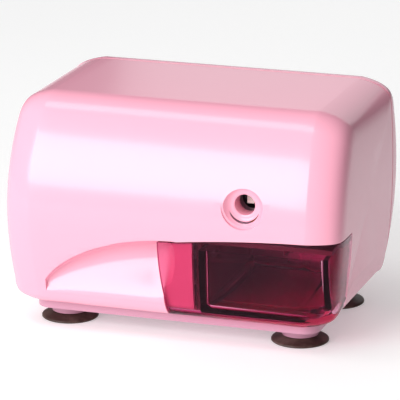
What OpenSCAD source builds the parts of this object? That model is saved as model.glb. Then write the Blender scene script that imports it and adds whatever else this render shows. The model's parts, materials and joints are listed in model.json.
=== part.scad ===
// Desk-top electric pencil sharpener with a see-through shavings drawer and four sucker feet.
// +X is to the right, +Y to the back and +Z up. The origin is on the table, under the middle of the casing.

/* [Casing] */
// Width of the casing
body_w = 148; // [140:1:180]
// Depth of the casing, front to back
body_d = 100; // [98:1:125]
// Height from the table to the top of the casing
body_h = 99; // [97:1:120]
// Thickness of the casing wall
wall = 2.5; // [2:0.1:3]
// Depth of the rear cover, from the seam to the back
cover_d = 13.7; // [11:0.1:16]
// How far the rounding of the two ends reaches in from each side
side_round = 13; // [8:1:18]
// Radius of the roll between the front and the top
top_roll = 16; // [10:1:20]

/* [Pencil entry] */
// Radius of the pencil hole
pencil_r = 4.35; // [3.8:0.05:5.3]
// Distance of the pencil's axis from the right side
pencil_from_right = 40.8; // [36:0.1:45]
// Height of the pencil's axis
pencil_z = 62.5; // [60:0.1:66]
// Length of the guide bore
guide_len = 7; // [5:0.5:8.4]
// Radius of the dished mouth
mouth_r = 8; // [7:0.1:10]

/* [Drawer] */
// Thickness of the drawer's front plate
plate_t = 2.5; // [2:0.1:3]
// Distance of the drawer's left end from the right side
drawer_from_right = 78; // [74:1:84]
// Height of the drawer's top edge at its left end
drawer_top = 45; // [40:0.5:46]
// Rise of that edge towards the right side
drawer_rise = 4.2; // [2:0.1:5]
// How far the drawer wraps round the right side
side_return = 23; // [18:1:30]
// Length of the bin, from the casing's front to its rear wall
bin_len = 72; // [60:1:72]
// Thickness of the bin's walls
bin_t = 1.8; // [1.4:0.1:2.4]
// Gap round the drawer
drawer_gap = 0.4; // [0.3:0.05:0.6]

/* [Feet and base] */
// Thickness of the base plate
base_t = 4; // [3:0.5:6]
// Radius of a sucker's rim
cup_r = 12.2; // [10:0.1:14]
// Height of a sucker under its boss
cup_h = 3; // [2.5:0.1:4]
// Radius of a foot boss
boss_r = 7.7; // [7:0.1:9]
// Height of a foot boss
boss_h = 4.3; // [3:0.1:6]
// Spacing of the feet, left to right
feet_x = 103; // [90:1:110]
// Spacing of the feet, front to back
feet_y = 55; // [50:1:60]

/* [Cutting head] */
// Radius of the helical cutter
cutter_r = 6; // [5.4:0.1:6.2]
// Length of the helical cutter
cutter_len = 27; // [24:0.5:29]
// Flutes on the helical cutter
flutes = 12; // [9:1:15]
// Half angle of the pencil's point
point_angle = 10.5; // [9:0.5:12]
// Teeth of the cutter's pinion
cutter_teeth = 14; // [13:1:15]
// Teeth of the fixed ring gear
ring_teeth = 42; // [42:1:43]
// Radius of the cutter's axle
cutter_axle_r = 1.5; // [1.2:0.1:1.8]

/* [Gear train] */
// Teeth of the main gear on the carrier
main_teeth = 48; // [44:1:50]
// Teeth of the idler's pinion
idler_small = 12; // [11:1:14]
// Teeth of the idler's wheel
idler_large = 52; // [48:1:54]
// Teeth of the motor's pinion
motor_teeth = 10; // [10:1:12]
// Radius of the idler's axle
idler_axle_r = 2; // [1.6:0.1:2.6]
// Direction of the idler from the pencil's axis, up from the left
idler_dir = 15; // [10:1:20]
// Direction of the motor from the idler, down from the left
motor_dir = 35; // [30:1:42]

/* [Motor] */
// Width of the motor's stack
stack_w = 44; // [40:1:48]
// Height of the motor's stack
stack_h = 38; // [36:1:42]
// Length of the motor's stack
stack_len = 20; // [16:1:22]
// Radius of the armature
armature_r = 12.5; // [11:0.1:13]
// Radius of the motor's shaft
motor_shaft_r = 2; // [1.5:0.1:2.4]

/* [Cord inlet] */
// Radius of the bore of the cord gland
gland_r = 3.3; // [2.8:0.1:4]
// Distance of the cord gland from the middle, to the left
gland_x = 36; // [32:1:38]
// Height of the cord gland
gland_z = 24; // [23:1:30]

/* [Hidden] */
$fn = 48;
fit = 0.05;            // running clearance of a shaft in its bush
eps = 0.01;
gear_pa = 25;          // pressure angle
fine_mod = 0.8;        // module of the ring, the cutter's pinion and the motor stage
main_mod = 1;          // module of the main stage
backlash = 0.22;
axis_slack = 0.1;      // added to each centre distance

// Casing
shell_bottom = cup_h + boss_h + base_t;
base_bottom = cup_h + boss_h;
y_front = -body_d / 2;
y_back = body_d / 2;
seam_y = y_back - cover_d;
front_mid = 46;        // height where the front reaches furthest forward
back_mid = 62;
front_r = 80;          // radius of the front above that height
front_low_r = 150;
back_r = 120;
low_roll = 5;          // radius of the roll at the foot of the front
back_top_roll = 7;
back_low_roll = 6;
side_reach = 23;       // inset at which the end faces reach their full width
side_power = 7;
back_share = 0.3;      // how much sharper the back's upright edges are than the front's
low_share = 0.35;      // and how much sharper the bottom edges are than the top's
widest_z = 58;         // height where the end faces bulge furthest out
bulge_up = 900;        // the end faces' fall above that height, and below it
bulge_down = 600;

top_turn = asin((body_h - top_roll - front_mid) / (front_r - top_roll));
low_turn = asin((front_mid - shell_bottom - low_roll) / (front_low_r - low_roll));
back_top_turn = asin((body_h - back_top_roll - back_mid) / (back_r - back_top_roll));
back_low_turn = asin((back_mid - shell_bottom - back_low_roll) / (back_r - back_low_roll));
form_mid = [0, (shell_bottom + body_h) / 2];

// Point and outward normal of the side-view outline: [y, z, normal y, normal z]
function arc(c, r, a0, a1, n) = [for (i = [0:n]) let (a = a0 + (a1 - a0) * i / n)
    [c[0] + r * cos(a), c[1] + r * sin(a), cos(a), sin(a)]];
outline = concat(
    arc([y_back - back_r + (back_r - back_low_roll) * cos(back_low_turn), shell_bottom + back_low_roll],
        back_low_roll, -90, -back_low_turn, 2),
    [for (a = [-back_low_turn / 2, 0, back_top_turn / 2])
        [y_back - back_r + back_r * cos(a), back_mid + back_r * sin(a), cos(a), sin(a)]],
    arc([y_back - back_r + (back_r - back_top_roll) * cos(back_top_turn), body_h - back_top_roll],
        back_top_roll, back_top_turn, 90, 2),
    arc([y_front + front_r - (front_r - top_roll) * cos(top_turn), body_h - top_roll],
        top_roll, 90, 180 - top_turn, 3),
    arc([y_front + front_r, front_mid], front_r, 180 - top_turn * 0.75, 180, 3),
    arc([y_front + front_low_r - (front_low_r - low_roll) * cos(low_turn), shell_bottom + low_roll],
        low_roll, 180 + low_turn, 270, 2));

// The outline moved in by d along its normals, drawn towards the middle so that no roll is lost
function inset_point(p, d) = let (q = [p[0] - form_mid[0], p[1] - form_mid[1]],
    share = d / (q[0] * p[2] + q[1] * p[3])) [p[0] - share * q[0], p[1] - share * q[1]];
function side_x(d) = body_w / 2 - side_round * pow(1 - d / side_reach, side_power);
side_steps = [0, 0.8, 2.4, 6, 12, side_reach];
function bulge(z) = pow(z - widest_z, 2) / (z > widest_z ? bulge_up : bulge_down);
function ring_point(sign, p, d, skin) = let (q = inset_point(p, d + skin),
    y = q[0] + d * back_share * max(0, p[2]), z = q[1] + d * low_share * min(0, p[3]))
    [sign * (side_x(d) - skin - bulge(z)), y, z];

// The pillow form of the casing, moved in by skin
module form(skin) {
    n = len(outline);
    k = len(side_steps);
    steps = concat([for (i = [k - 1:-1:0]) [-1, side_steps[i]]], [for (d = side_steps) [1, d]]);
    last = 2 * k - 1;
    points = concat([for (s = steps) for (p = outline) ring_point(s[0], p, s[1], skin)],
        [for (s = [-1, 1]) [s * (body_w / 2 - skin), 0, widest_z]]);
    sides = [for (i = [0:last - 1]) for (j = [0:n - 1]) let (a = i * n + j, b = i * n + (j + 1) % n)
        each [[a, a + n, b], [b, a + n, b + n]]];
    caps = [for (j = [0:n - 1]) let (b = (j + 1) % n)
        each [[j, b, last * n + n], [last * n + b, last * n + j, last * n + n + 1]]];
    polyhedron(points, concat(sides, caps), convexity = 4);
}

function face_y(z) = z >= front_mid
    ? y_front + front_r - sqrt(front_r * front_r - (z - front_mid) * (z - front_mid))
    : y_front + front_low_r - sqrt(front_low_r * front_low_r - (z - front_mid) * (z - front_mid));
function back_y(z) = y_back - back_r + sqrt(back_r * back_r - (z - back_mid) * (z - back_mid));

// Drawer and finger scoop
drawer_x = body_w / 2 - drawer_from_right;
drawer_lean = 4;                    // how far the drawer's left edge leans at its foot
arch_x = drawer_x + 9;              // where the arch of the scoop is highest
scoop_len = 61;
scoop_foot = 17;                    // height at which the scoop runs out at the bottom
scoop_depth = 12;
scoop_end = drawer_x + 8;
scoop_skin = 2;
scoop_tip = 2;                      // the hollow starts this far in from the arch's end
scoop_rise = 0.55;                  // powers of the scoop's curve at its top and its foot
scoop_fall = 1.5;
function cut_z(x) = let (u = min(1, max(0, (arch_x - x) / scoop_len)),
    v = min(1, max(0, (x - arch_x) / (body_w / 2 - arch_x))))
    x < arch_x ? scoop_foot + (drawer_top - scoop_foot) * pow(1 - u * u, 0.6)
               : drawer_top + drawer_rise * (2 * v - v * v);
return_y = y_front + side_return;
bin_left = drawer_x + 18;
bin_right = body_w / 2 - 6;
bin_back = y_front + bin_len;
bin_floor = shell_bottom + wall + drawer_gap;
bin_top = drawer_top - 3;
bay_t = 2;
bay_left = bin_left - 1 - bay_t;
bay_roof = bin_top + 1;

// Pencil path and cutting head, front to back
pencil_x = body_w / 2 - pencil_from_right;
dish_depth = 2.8;
bore_y = face_y(pencil_z) + dish_depth;
guide_end = bore_y + guide_len;
guide_t = 2.6;
lever_space = 5.5;
plate_y = guide_end + lever_space;
chassis_t = 3;
ring_y = plate_y + chassis_t;
ring_flange_t = 2;
pinion_w = 4.4;
mesh_y = ring_y + 7;                // middle of the cutter's pinion
cutter_y = mesh_y + pinion_w / 2 + 0.4;
carrier_disc_y = ring_y + 1.6;
carrier_disc_t = 2.6;
carrier_rear_y = cutter_y + cutter_len + 0.8;
carrier_wall_t = 4;
gear_plate_y = max(bin_back + 2, carrier_rear_y + carrier_wall_t + 4);
gear_plate_t = 2.5;
pitch_cutter = fine_mod * cutter_teeth / 2;
pitch_ring = fine_mod * ring_teeth / 2;
mesh_r = pitch_ring - pitch_cutter;
ring_tip = pitch_ring - 0.2;
ring_r = pitch_ring + 3.4;
ear_r = ring_r + 2.4;
carrier_r = pitch_ring - 1.8;
journal_r = 7.5;
bush_r = 10;
carrier_shaft_r = 4;
carrier_bore_r = pencil_r + 0.4;

// Gear train
main_y = gear_plate_y + gear_plate_t + 1.2;
main_w = 4.6;
idler_wheel_y = main_y + main_w + 0.5;
idler_wheel_w = 3;
outer_plate_y = idler_wheel_y + idler_wheel_w + 1;
outer_plate_t = 2;
outer_plate_up = 29.5;
main_dist = main_mod * (main_teeth + idler_small) / 2 + axis_slack;
motor_dist = fine_mod * (idler_large + motor_teeth) / 2 + axis_slack;
idler_x = pencil_x - main_dist * cos(idler_dir);
idler_z = pencil_z + main_dist * sin(idler_dir);
motor_x = idler_x - motor_dist * cos(motor_dir);
motor_z = idler_z - motor_dist * sin(motor_dir);

// Motor, front to back
stack_y = gear_plate_y - 4 - stack_len;
bracket_t = 2;
front_bracket_y = stack_y - 18;
motor_bolt_r = 1.5;
bolt_dx = stack_w / 2 - 7;
bolt_dz = stack_h / 2 - 3.2;
pole_half = 8;                      // half height of a pole's neck
slot_h = 4.8;
coil_t = 4.4;
commutator_r = 6.5;
commutator_len = 8;
commutator_y = front_bracket_y + bracket_t + 1;
fan_y = front_bracket_y - 7;
fan_r = 15;
fan_w = 5;
fan_blades = 9;
air_gap = 0.5;

// Fixings
pilot_r = 1.2;
post_r = 3.4;
post_y = gear_plate_y + gear_plate_t + 1;
case_screw_x = body_w / 2 - 19;
case_screw_low = shell_bottom + 15;
case_screw_high = body_h - 15;
case_screw_at = [for (s = [-1, 1], z = [case_screw_low, case_screw_high]) [s * case_screw_x, z]];
pillar_r = 2.3;
pillars = [[-19, 17], [19, 17], [-20.5, -15], [20.5, -15]];
standoffs = [[idler_x - 26, idler_z + 12], [motor_x - 8, motor_z - 16], [pencil_x - 21, pencil_z - 26.5],
    [pencil_x + 13, pencil_z + 27.5]];
ears = [[-ear_r, 0], [ear_r, 0], [0, ear_r]];

// Base
base_in = 11.5;                     // how far the base stops short of each side
base_front = 10;
base_back = 11;
base_round = 7;
base_step = 0.5;
opening_in = 30;
opening_front = 28;
feet_mid = 1.8;                     // the feet's middle lies this far behind the origin
hatch_left = -body_w / 2 + opening_in;
hatch_right = bay_left - 1.5;
hatch_front = y_front + opening_front;
block = [10, 8, 6];                 // feet of the gear plate
chassis_left = motor_x - stack_w / 2 - 4;
block_x = [max(hatch_left + 1, chassis_left - 1), hatch_right - 13];
base_screw_y = gear_plate_y + block[1] / 2;
base_bosses = [[hatch_left - 6, feet_mid], [bin_left - 28, hatch_front - 5], [pencil_x + 3, post_y + 3.4]];
boss_top = shell_bottom + 9;
base_screw_at = concat(base_bosses, [for (x = block_x) [x + block[0] / 2, base_screw_y]]);

// Switches and electrics
lever_t = 2.4;
lever_y = guide_end + 1.2;
lever_arm = 12;
lever_x = pencil_x + lever_arm;
lever_z = pencil_z + 3;
lever_pin_r = 1.5;
switch_x = body_w / 2 - 30;
switch_z = shell_bottom + 15;
plunger_r = 1.6;
plunger_gap = 0.3;
board = [30, 38, 1.6];
board_at = [hatch_left + 1, hatch_front + 2, shell_bottom + 6];
board_inset = 3;

// Turns local z to +Y at a point, with local y pointing down
module along_y(p) {
    translate(p) rotate([-90, 0, 0]) children();
}

module bar_y(x, z, y0, y1, r) {
    along_y([x, y0, z]) cylinder(r = r, h = y1 - y0);
}

module tube_y(x, z, y0, y1, r, hole) {
    difference() {
        bar_y(x, z, y0, y1, r);
        bar_y(x, z, y0 - 1, y1 + 1, hole);
    }
}

// A plate that faces front, from x0, z0 to x1, z1
module plate_xz(x0, x1, z0, z1, y, t) {
    translate([x0, y, z0]) cube([x1 - x0, t, z1 - z0]);
}

// A pan-head screw with a cross slot, its head's seat at the origin and its thread along -z
module screw(head_r, head_h, shank_r, length) {
    difference() {
        union() {
            cylinder(r = head_r, h = head_h);
            translate([0, 0, -length]) cylinder(r = shank_r, h = length + eps);
        }
        for (a = [0, 90]) rotate(a)
            translate([-head_r * 0.6, -0.35, head_h * 0.4]) cube([head_r * 1.2, 0.7, head_h]);
    }
}

// Involute gear teeth
function inv(a) = tan(a) * 180 / PI - a;
function tooth_half(mod, n, r, play) = let (rp = mod * n / 2, rb = rp * cos(gear_pa))
    90 / n - play / (2 * rp) * 180 / PI + inv(gear_pa) - inv(acos(min(1, rb / r)));
function polar(r, a) = [r * cos(a), r * sin(a)];
function tooth_points(mod, n, at, play, more) = let (rp = mod * n / 2, rb = rp * cos(gear_pa),
    tip = rp + 0.8 * mod + more, root = rp - 1.1 * mod, low = max(rb, root),
    flank = [low, (low + tip) / 2, tip])
    concat([polar(root, at - tooth_half(mod, n, low, play))],
           [for (r = flank) polar(r, at - tooth_half(mod, n, r, play))],
           [for (i = [2:-1:0]) polar(flank[i], at + tooth_half(mod, n, flank[i], play))],
           [polar(root, at + tooth_half(mod, n, low, play))]);

// A spur gear with a tooth centred at the angle at
module gear(mod, n, width, bore, at) {
    difference() {
        linear_extrude(width)
            polygon([for (k = [0:n - 1]) each tooth_points(mod, n, at + k * 360 / n, backlash, 0)]);
        translate([0, 0, -1]) cylinder(r = bore, h = width + 2);
    }
}

// ---- Casing ----

// The drawer's left edge leans to the right towards its foot
function drawer_left(z) = drawer_x
    + drawer_lean * pow(min(1, max(0, (drawer_top - z) / (drawer_top - shell_bottom))), 1.7);

// What the drawer's front takes out of the casing, grown by more
module drawer_zone(more) {
    far = body_w / 2 + 4;
    left = drawer_x - more;
    foot = shell_bottom - 5;
    high = cut_z(left) + more;
    edge = [for (i = [0:4]) let (z = foot + (high - foot) * i / 5) [drawer_left(z) - more, z]];
    top = [for (i = [0:14]) let (x = left + (far - left) * i / 14) [x, cut_z(x) + more]];
    translate([0, return_y + more, 0]) rotate([90, 0, 0]) linear_extrude(side_return + more + 10)
        polygon(concat(edge, top, [[far, foot]]));
}

// Share of the scoop's full depth at x, and at s from the arch (0) to the foot (1)
function scoop_share(x) = let (u = max(0, min(1, (arch_x - x) / scoop_len)),
    v = max(0, min(1, (scoop_end - x) / 14)))
    pow(1 - u, 0.55) * (1 - 0.82 * pow(1 - v, 2.4));
scoop_peak = pow(scoop_rise / (scoop_rise + scoop_fall), scoop_rise)
    * pow(scoop_fall / (scoop_rise + scoop_fall), scoop_fall);
function scoop_curve(s) = pow(s, scoop_rise) * pow(1 - s, scoop_fall) / scoop_peak;
scoop_s = [0, 0.02, 0.08, 0.2, 0.4, 0.62, 0.82, 1];
scoop_steps = 10;
scoop_lift = 0.06;                  // keeps the rim of the hollow clear of the casing's surface
function scoop_section(x, skin) = let (top = cut_z(x) + skin * 0.9, foot = scoop_foot - skin,
    deep = scoop_depth * scoop_share(x) + skin * 1.25)
    concat([[x, y_front - 6, foot]], [[x, y_front - 6, top]],
        [for (s = scoop_s) let (z = top - (top - foot) * s)
            [x, face_y(z) + deep * scoop_curve(s) - scoop_lift, z]]);

// The hollow under the arch, moved out by skin
module scoop_form(skin) {
    left = arch_x - scoop_len + scoop_tip - skin * 0.4;
    right = scoop_end + skin;
    sections = [for (i = [0:scoop_steps]) scoop_section(left + (right - left) * i / scoop_steps, skin)];
    n = len(sections[0]);
    points = [for (s = sections) for (p = s) p];
    sides = [for (i = [0:scoop_steps - 1]) for (j = [0:n - 1])
        let (a = i * n + j, b = i * n + (j + 1) % n) each [[a, b, a + n], [b, b + n, a + n]]];
    polyhedron(points, concat(sides, [[for (j = [n - 1:-1:0]) j]],
        [[for (j = [0:n - 1]) scoop_steps * n + j]]), convexity = 6);
}

module behind_seam(y) {
    translate([-body_w, y, -1]) cube([2 * body_w, body_d, 2 * body_h]);
}

module hatch() {
    translate([hatch_left, hatch_front, shell_bottom - 1])
        cube([hatch_right - hatch_left, y_back - base_back - 3 - hatch_front, wall + 2]);
}

// Block behind the drawer's left end, in which the casing steps back
module rebate(z0, z1) {
    translate([drawer_x - 3, y_front - 1, z0]) cube([bay_left - drawer_x + 3, 22, z1 - z0]);
}

// Rib between a screw post and the side
module post_tie(p, y0, y1, half) {
    translate([p[0] > 0 ? p[0] : -body_w / 2, y0, p[1] - half])
        cube([body_w / 2 - case_screw_x, y1 - y0, 2 * half]);
}

module shell_skin() {
    step = plate_t + drawer_gap;
    difference() {
        union() {
            difference() {
                form(0);
                drawer_zone(0.05);
            }
            intersection() {
                form(step);
                rebate(shell_bottom + 1, drawer_top + 2);
            }
            // posts for the rear cover's screws, tied to the sides
            for (p = case_screw_at) bar_y(p[0], p[1], post_y, seam_y - 0.2, post_r);
        }
        // inside, less the posts and the walls behind the scoop and the drawer's end
        difference() {
            form(wall);
            scoop_form(scoop_skin);
            difference() {
                rebate(shell_bottom - 1, drawer_top + 3);
                form(step + 2);
            }
            for (p = case_screw_at) {
                bar_y(p[0], p[1], post_y, seam_y + 1, post_r);
                post_tie(p, post_y, seam_y - 0.2, 1);
            }
            for (p = base_bosses) translate([p[0], p[1], shell_bottom])
                cylinder(r = post_r, h = boss_top - shell_bottom);
            bar_y(pencil_x, pencil_z, y_front, guide_end, pencil_r + guide_t);
        }
        scoop_form(0);
        behind_seam(seam_y);
        hatch();
        along_y([pencil_x, bore_y - 4, pencil_z])
            cylinder(r1 = mouth_r + 1.4, r2 = pencil_r + 1.2, h = 4);
        for (p = case_screw_at) bar_y(p[0], p[1], post_y + 0.5, seam_y + 1, pilot_r);
        for (p = base_bosses) translate([p[0], p[1], shell_bottom - 1])
            cylinder(r = pilot_r, h = boss_top - shell_bottom);
    }
}

module front_shell() {
    color("pink") difference() {
        shell_skin($fn = 24);
        bar_y(pencil_x, pencil_z, y_front - 5, guide_end + 5, pencil_r);
    }
}

// A slice of the casing between two planes that face front
module slice_y(y0, y1, z0) {
    translate([-body_w, y0, z0]) cube([2 * body_w, y1 - y0, 2 * body_h]);
}

// The rear cover's shell, its tongue, its screw sleeves and its vents
module cover_skin() {
    tongue = 2.2;
    tongue_t = 1.5;
    root = 1.5;
    low = shell_bottom + wall + 2;
    seat_y = back_y(gland_z) + 0.8;
    difference() {
        union() {
            form(0);
            bar_y(-gland_x, gland_z, seat_y - 5, seat_y, gland_r + 4.3);
        }
        bar_y(-gland_x, gland_z, seat_y - 0.05, y_back + 1, gland_r + 4.3);
        bar_y(-gland_x, gland_z, seat_y - 9, seat_y - 5.85, gland_r + 3.3);
        difference() {
            form(wall);
            for (p = case_screw_at) bar_y(p[0], p[1], seam_y, y_back, post_r + 1.4);
            bar_y(-gland_x, gland_z, seat_y - 5.8, y_back, gland_r + 4.3);
            difference() {
                slice_y(seam_y, seam_y + root, low);
                form(wall + tongue_t);
            }
        }
        slice_y(y_front - 10, seam_y, -1);
        hatch();
        for (p = case_screw_at) {
            bar_y(p[0], p[1], seam_y - 1, y_back + 5, pilot_r + 0.4);
            bar_y(p[0], p[1], seam_y + 3, y_back + 5, post_r - 0.2);
        }
        for (i = [0:5]) translate([motor_x - 18 + i * 7, seam_y + 4, motor_z - 14])
            cube([2.4, cover_d, 30]);
    }
    // tongue inside the front shell's edge, along the top and the sides
    difference() {
        intersection() {
            form(wall + 0.2);
            slice_y(seam_y - tongue, seam_y + root / 2, low);
        }
        form(wall + tongue_t);
        for (p = case_screw_at) {
            bar_y(p[0], p[1], seam_y - 3, seam_y, post_r + 0.4);
            post_tie(p, seam_y - 3, seam_y, 1.3);
        }
    }
}

module rear_cover() {
    color("pink") difference() {
        cover_skin($fn = 24);
        bar_y(-gland_x, gland_z, back_y(gland_z) - 10, y_back + 5, gland_r + 1.7);
    }
}

module cord_gland() {
    gland_y = back_y(gland_z);
    color([0.2, 0.2, 0.21]) difference() {
        union() {
            bar_y(-gland_x, gland_z, gland_y - 6.5, gland_y + 2.5, gland_r + 1.7);
            bar_y(-gland_x, gland_z, gland_y + 0.8, gland_y + 2.5, gland_r + 3.2);
            bar_y(-gland_x, gland_z, gland_y - 6.5, gland_y - 5, gland_r + 2.8);
        }
        bar_y(-gland_x, gland_z, gland_y - 8, gland_y + 4, gland_r);
    }
}

module base_outline(grow) {
    x = body_w / 2 - base_in + grow;
    y0 = y_front + base_front - grow;
    y1 = y_back - base_back + grow;
    r = base_round + grow;
    corners = [[x - r, y1 - r, 0], [-x + r, y1 - r, 90], [-x + r, y0 + r, 180], [x - r, y0 + r, 270]];
    polygon([for (c = corners)
        for (i = [0:6]) [c[0] + r * cos(c[2] + i * 15), c[1] + r * sin(c[2] + i * 15)]]);
}

module board_holes(r, z0, z1) {
    for (x = [board_inset, board[0] - board_inset], y = [board_inset, board[1] - board_inset])
        translate([board_at[0] + x, board_at[1] + y, z0]) cylinder(r = r, h = z1 - z0);
}

module base_plate() {
    color("lightpink") difference() {
        union() {
            translate([0, 0, base_bottom + 0.8]) linear_extrude(base_t - 0.8) base_outline(0);
            translate([0, 0, base_bottom]) linear_extrude(0.8 + eps) base_outline(-0.6);
            translate([hatch_left + 0.3, hatch_front + 0.3, shell_bottom - eps])
                cube([hatch_right - hatch_left - 0.6, y_back - base_back - 3.6 - hatch_front, base_step]);
            for (sx = [-1, 1], sy = [-1, 1])
                translate([sx * feet_x / 2, feet_mid + sy * feet_y / 2, cup_h])
                    cylinder(r = boss_r, h = boss_h + eps);
            board_holes(2.2, shell_bottom, board_at[2]);
        }
        for (sx = [-1, 1], sy = [-1, 1])
            translate([sx * feet_x / 2, feet_mid + sy * feet_y / 2, cup_h - 1]) cylinder(r = 3.5, h = 4.8);
        board_holes(0.8, shell_bottom, board_at[2] + 1);
        // air slots under the motor
        for (i = [0:4]) translate([motor_x - 13 + i * 6, -12, 0]) cube([2.2, 24, 2 * shell_bottom]);
        for (p = base_screw_at) translate([p[0], p[1], 0]) {
            cylinder(r = pilot_r + 0.3, h = 30);
            cylinder(r = 3.1, h = base_bottom + 1.8);
        }
    }
}

module sucker(sx, sy) {
    color([0.13, 0.08, 0.07]) translate([sx * feet_x / 2, feet_mid + sy * feet_y / 2, 0])
        rotate_extrude($fn = 64) polygon([[0, 1.5], [3, 1.5], [7.5, 1.1], [cup_r - 1.4, 0], [cup_r, 0],
            [cup_r, 0.9], [cup_r - 0.5, 1.3], [8.4, cup_h - 0.6], [boss_r - 0.6, cup_h], [3.4, cup_h],
            [3.4, cup_h + 1.2], [2.9, cup_h + 1.6], [2.9, cup_h + 2.8], [0, cup_h + 3.4]]);
}
module sucker_front_left() { sucker(-1, -1); }
module sucker_front_right() { sucker(1, -1); }
module sucker_rear_left() { sucker(-1, 1); }
module sucker_rear_right() { sucker(1, 1); }

module base_screws() {
    color("silver") for (p = base_screw_at)
        translate([p[0], p[1], base_bottom + 1.8]) rotate([180, 0, 0]) screw(2.7, 1.6, pilot_r, 7);
}

module rear_cover_screws() {
    color("silver") for (p = case_screw_at)
        along_y([p[0], seam_y + 3, p[1]]) screw(2.7, 1.8, pilot_r, 10.5);
}

// ---- Drawer ----

module drawer_box(x0, x1, y1, z0, z1, skin) {
    intersection() {
        translate([x0, y_front - 5, z0]) cube([x1 - x0, y1 - y_front + 5, z1 - z0]);
        form(skin);
    }
}

module shavings_drawer() {
    color([0.85, 0.15, 0.45, 0.6]) union() {
        // front plate, flush with the casing
        intersection() {
            difference() {
                form(0);
                form(plate_t);
            }
            drawer_zone(-drawer_gap);
            translate([-body_w, -body_d, shell_bottom + drawer_gap]) cube(2 * body_w);
        }
        // bin, which the front plate closes
        difference() {
            union() {
                drawer_box(bin_left, bin_right, bin_back, bin_floor, bin_top, wall + drawer_gap);
                drawer_box(bin_left, bin_right, y_front + 16, bin_floor, bin_top, plate_t - 0.2);
            }
            drawer_box(bin_left + bin_t, bin_right - bin_t, bin_back - bin_t, bin_floor + bin_t, body_h,
                wall + drawer_gap + bin_t);
            drawer_box(bin_left + bin_t, bin_right - bin_t, y_front + 16,
                bin_floor + bin_t, body_h, plate_t);
        }
        // tab at the back that presses the switch
        translate([switch_x - 5, bin_back - 0.5, switch_z - 4]) cube([10, 1.1, 8]);
    }
}

module drawer_bay() {
    top = bay_roof + bay_t;
    front = y_front + plate_t + 7;
    floor_z = shell_bottom + wall + 0.3;
    color([0.16, 0.12, 0.12]) difference() {
        union() {
            translate([bay_left, front, floor_z]) cube([bay_t, gear_plate_y - front, top - floor_z]);
            translate([bay_left, front, bay_roof])
                cube([body_w / 2 - 5 - bay_left, gear_plate_y - front, bay_t]);
        }
        // mouth under the cutting head
        translate([pencil_x - 14, ring_y - 0.3, bay_roof - 1])
            cube([28, carrier_rear_y - ring_y + 4.3, bay_t + 2]);
        translate([bay_left - 1, ring_y, shell_bottom + 22]) cube([bay_t + 2, 8, 3]);
    }
}

// ---- Chassis ----

chassis_right = body_w / 2 - 7;
chassis_low = shell_bottom + wall + 0.5;
chassis_high = body_h - 8;

module front_plate() {
    low = bay_roof + bay_t;
    color("gainsboro") difference() {
        plate_xz(pencil_x - ear_r - 3.4, pencil_x + ear_r + 3.4, low, pencil_z + ear_r + 3.4,
            plate_y, chassis_t);
        bar_y(pencil_x, pencil_z, plate_y - 1, ring_y + 1, bush_r);
        bar_y(lever_x, lever_z, plate_y - 1, ring_y + 1, lever_pin_r);
        for (p = pillars) bar_y(pencil_x + p[0], pencil_z + p[1], plate_y - 1, ring_y + 1, pilot_r);
        for (e = ears) bar_y(pencil_x + e[0], pencil_z + e[1], plate_y - 1, ring_y + 1, pilot_r);
    }
}

module front_bush() {
    color("goldenrod") difference() {
        union() {
            bar_y(pencil_x, pencil_z, plate_y, ring_y, bush_r);
            bar_y(pencil_x, pencil_z, plate_y - 1, plate_y, bush_r + 0.6);
        }
        bar_y(pencil_x, pencil_z, plate_y - 3, ring_y + 1, journal_r + fit);
    }
}

module gear_plate() {
    y1 = gear_plate_y + gear_plate_t;
    color("gainsboro") difference() {
        union() {
            // main plate, and the wing that closes the drawer bay
            plate_xz(chassis_left, pencil_x + 24, chassis_low, chassis_high, gear_plate_y, gear_plate_t);
            plate_xz(pencil_x, chassis_right, chassis_low + 6, bay_roof + bay_t,
                gear_plate_y, gear_plate_t);
            for (x = block_x) translate([x, gear_plate_y, shell_bottom + base_step]) cube(block);
        }
        bar_y(pencil_x, pencil_z, gear_plate_y - 1, y1 + 1, carrier_shaft_r + 2.5);
        bar_y(idler_x, idler_z, gear_plate_y - 1, y1 + 1, idler_axle_r);
        bar_y(motor_x, motor_z, gear_plate_y - 1, y1 + 1, motor_shaft_r + fit);
        for (p = pillars) bar_y(pencil_x + p[0], pencil_z + p[1], gear_plate_y - 1, y1 + 1, 1.4);
        for (p = standoffs) bar_y(p[0], p[1], gear_plate_y - 1, y1 + 1, 1.4);
        for (sx = [-1, 1], sz = [-1, 1])
            bar_y(motor_x + sx * bolt_dx, motor_z + sz * bolt_dz, gear_plate_y - 1, y1 + 1, motor_bolt_r);
        bar_y(switch_x, switch_z, gear_plate_y - 1, y1 + 1, plunger_r + 0.4);
        for (x = block_x) translate([x + block[0] / 2, base_screw_y, shell_bottom - 1])
            cylinder(r = pilot_r, h = block[2]);
    }
}

module rear_bush() {
    color("goldenrod") tube_y(pencil_x, pencil_z, gear_plate_y, gear_plate_y + gear_plate_t,
        carrier_shaft_r + 2.5, carrier_shaft_r + fit);
}

module outer_gear_plate() {
    y1 = outer_plate_y + outer_plate_t;
    color("gainsboro") difference() {
        plate_xz(motor_x - 12, pencil_x + 17, pencil_z - 30, pencil_z + outer_plate_up,
            outer_plate_y, outer_plate_t);
        bar_y(pencil_x, pencil_z, outer_plate_y - 1, y1 + 1, 5);
        bar_y(idler_x, idler_z, outer_plate_y - 1, y1 + 1, idler_axle_r);
        for (p = standoffs) bar_y(p[0], p[1], outer_plate_y - 1, y1 + 1, pilot_r);
        for (c = [[-3, 20, 7], [3, -22, 6]])
            bar_y(idler_x + c[0], pencil_z + c[1], outer_plate_y - 1, y1 + 1, c[2]);
    }
}

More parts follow.
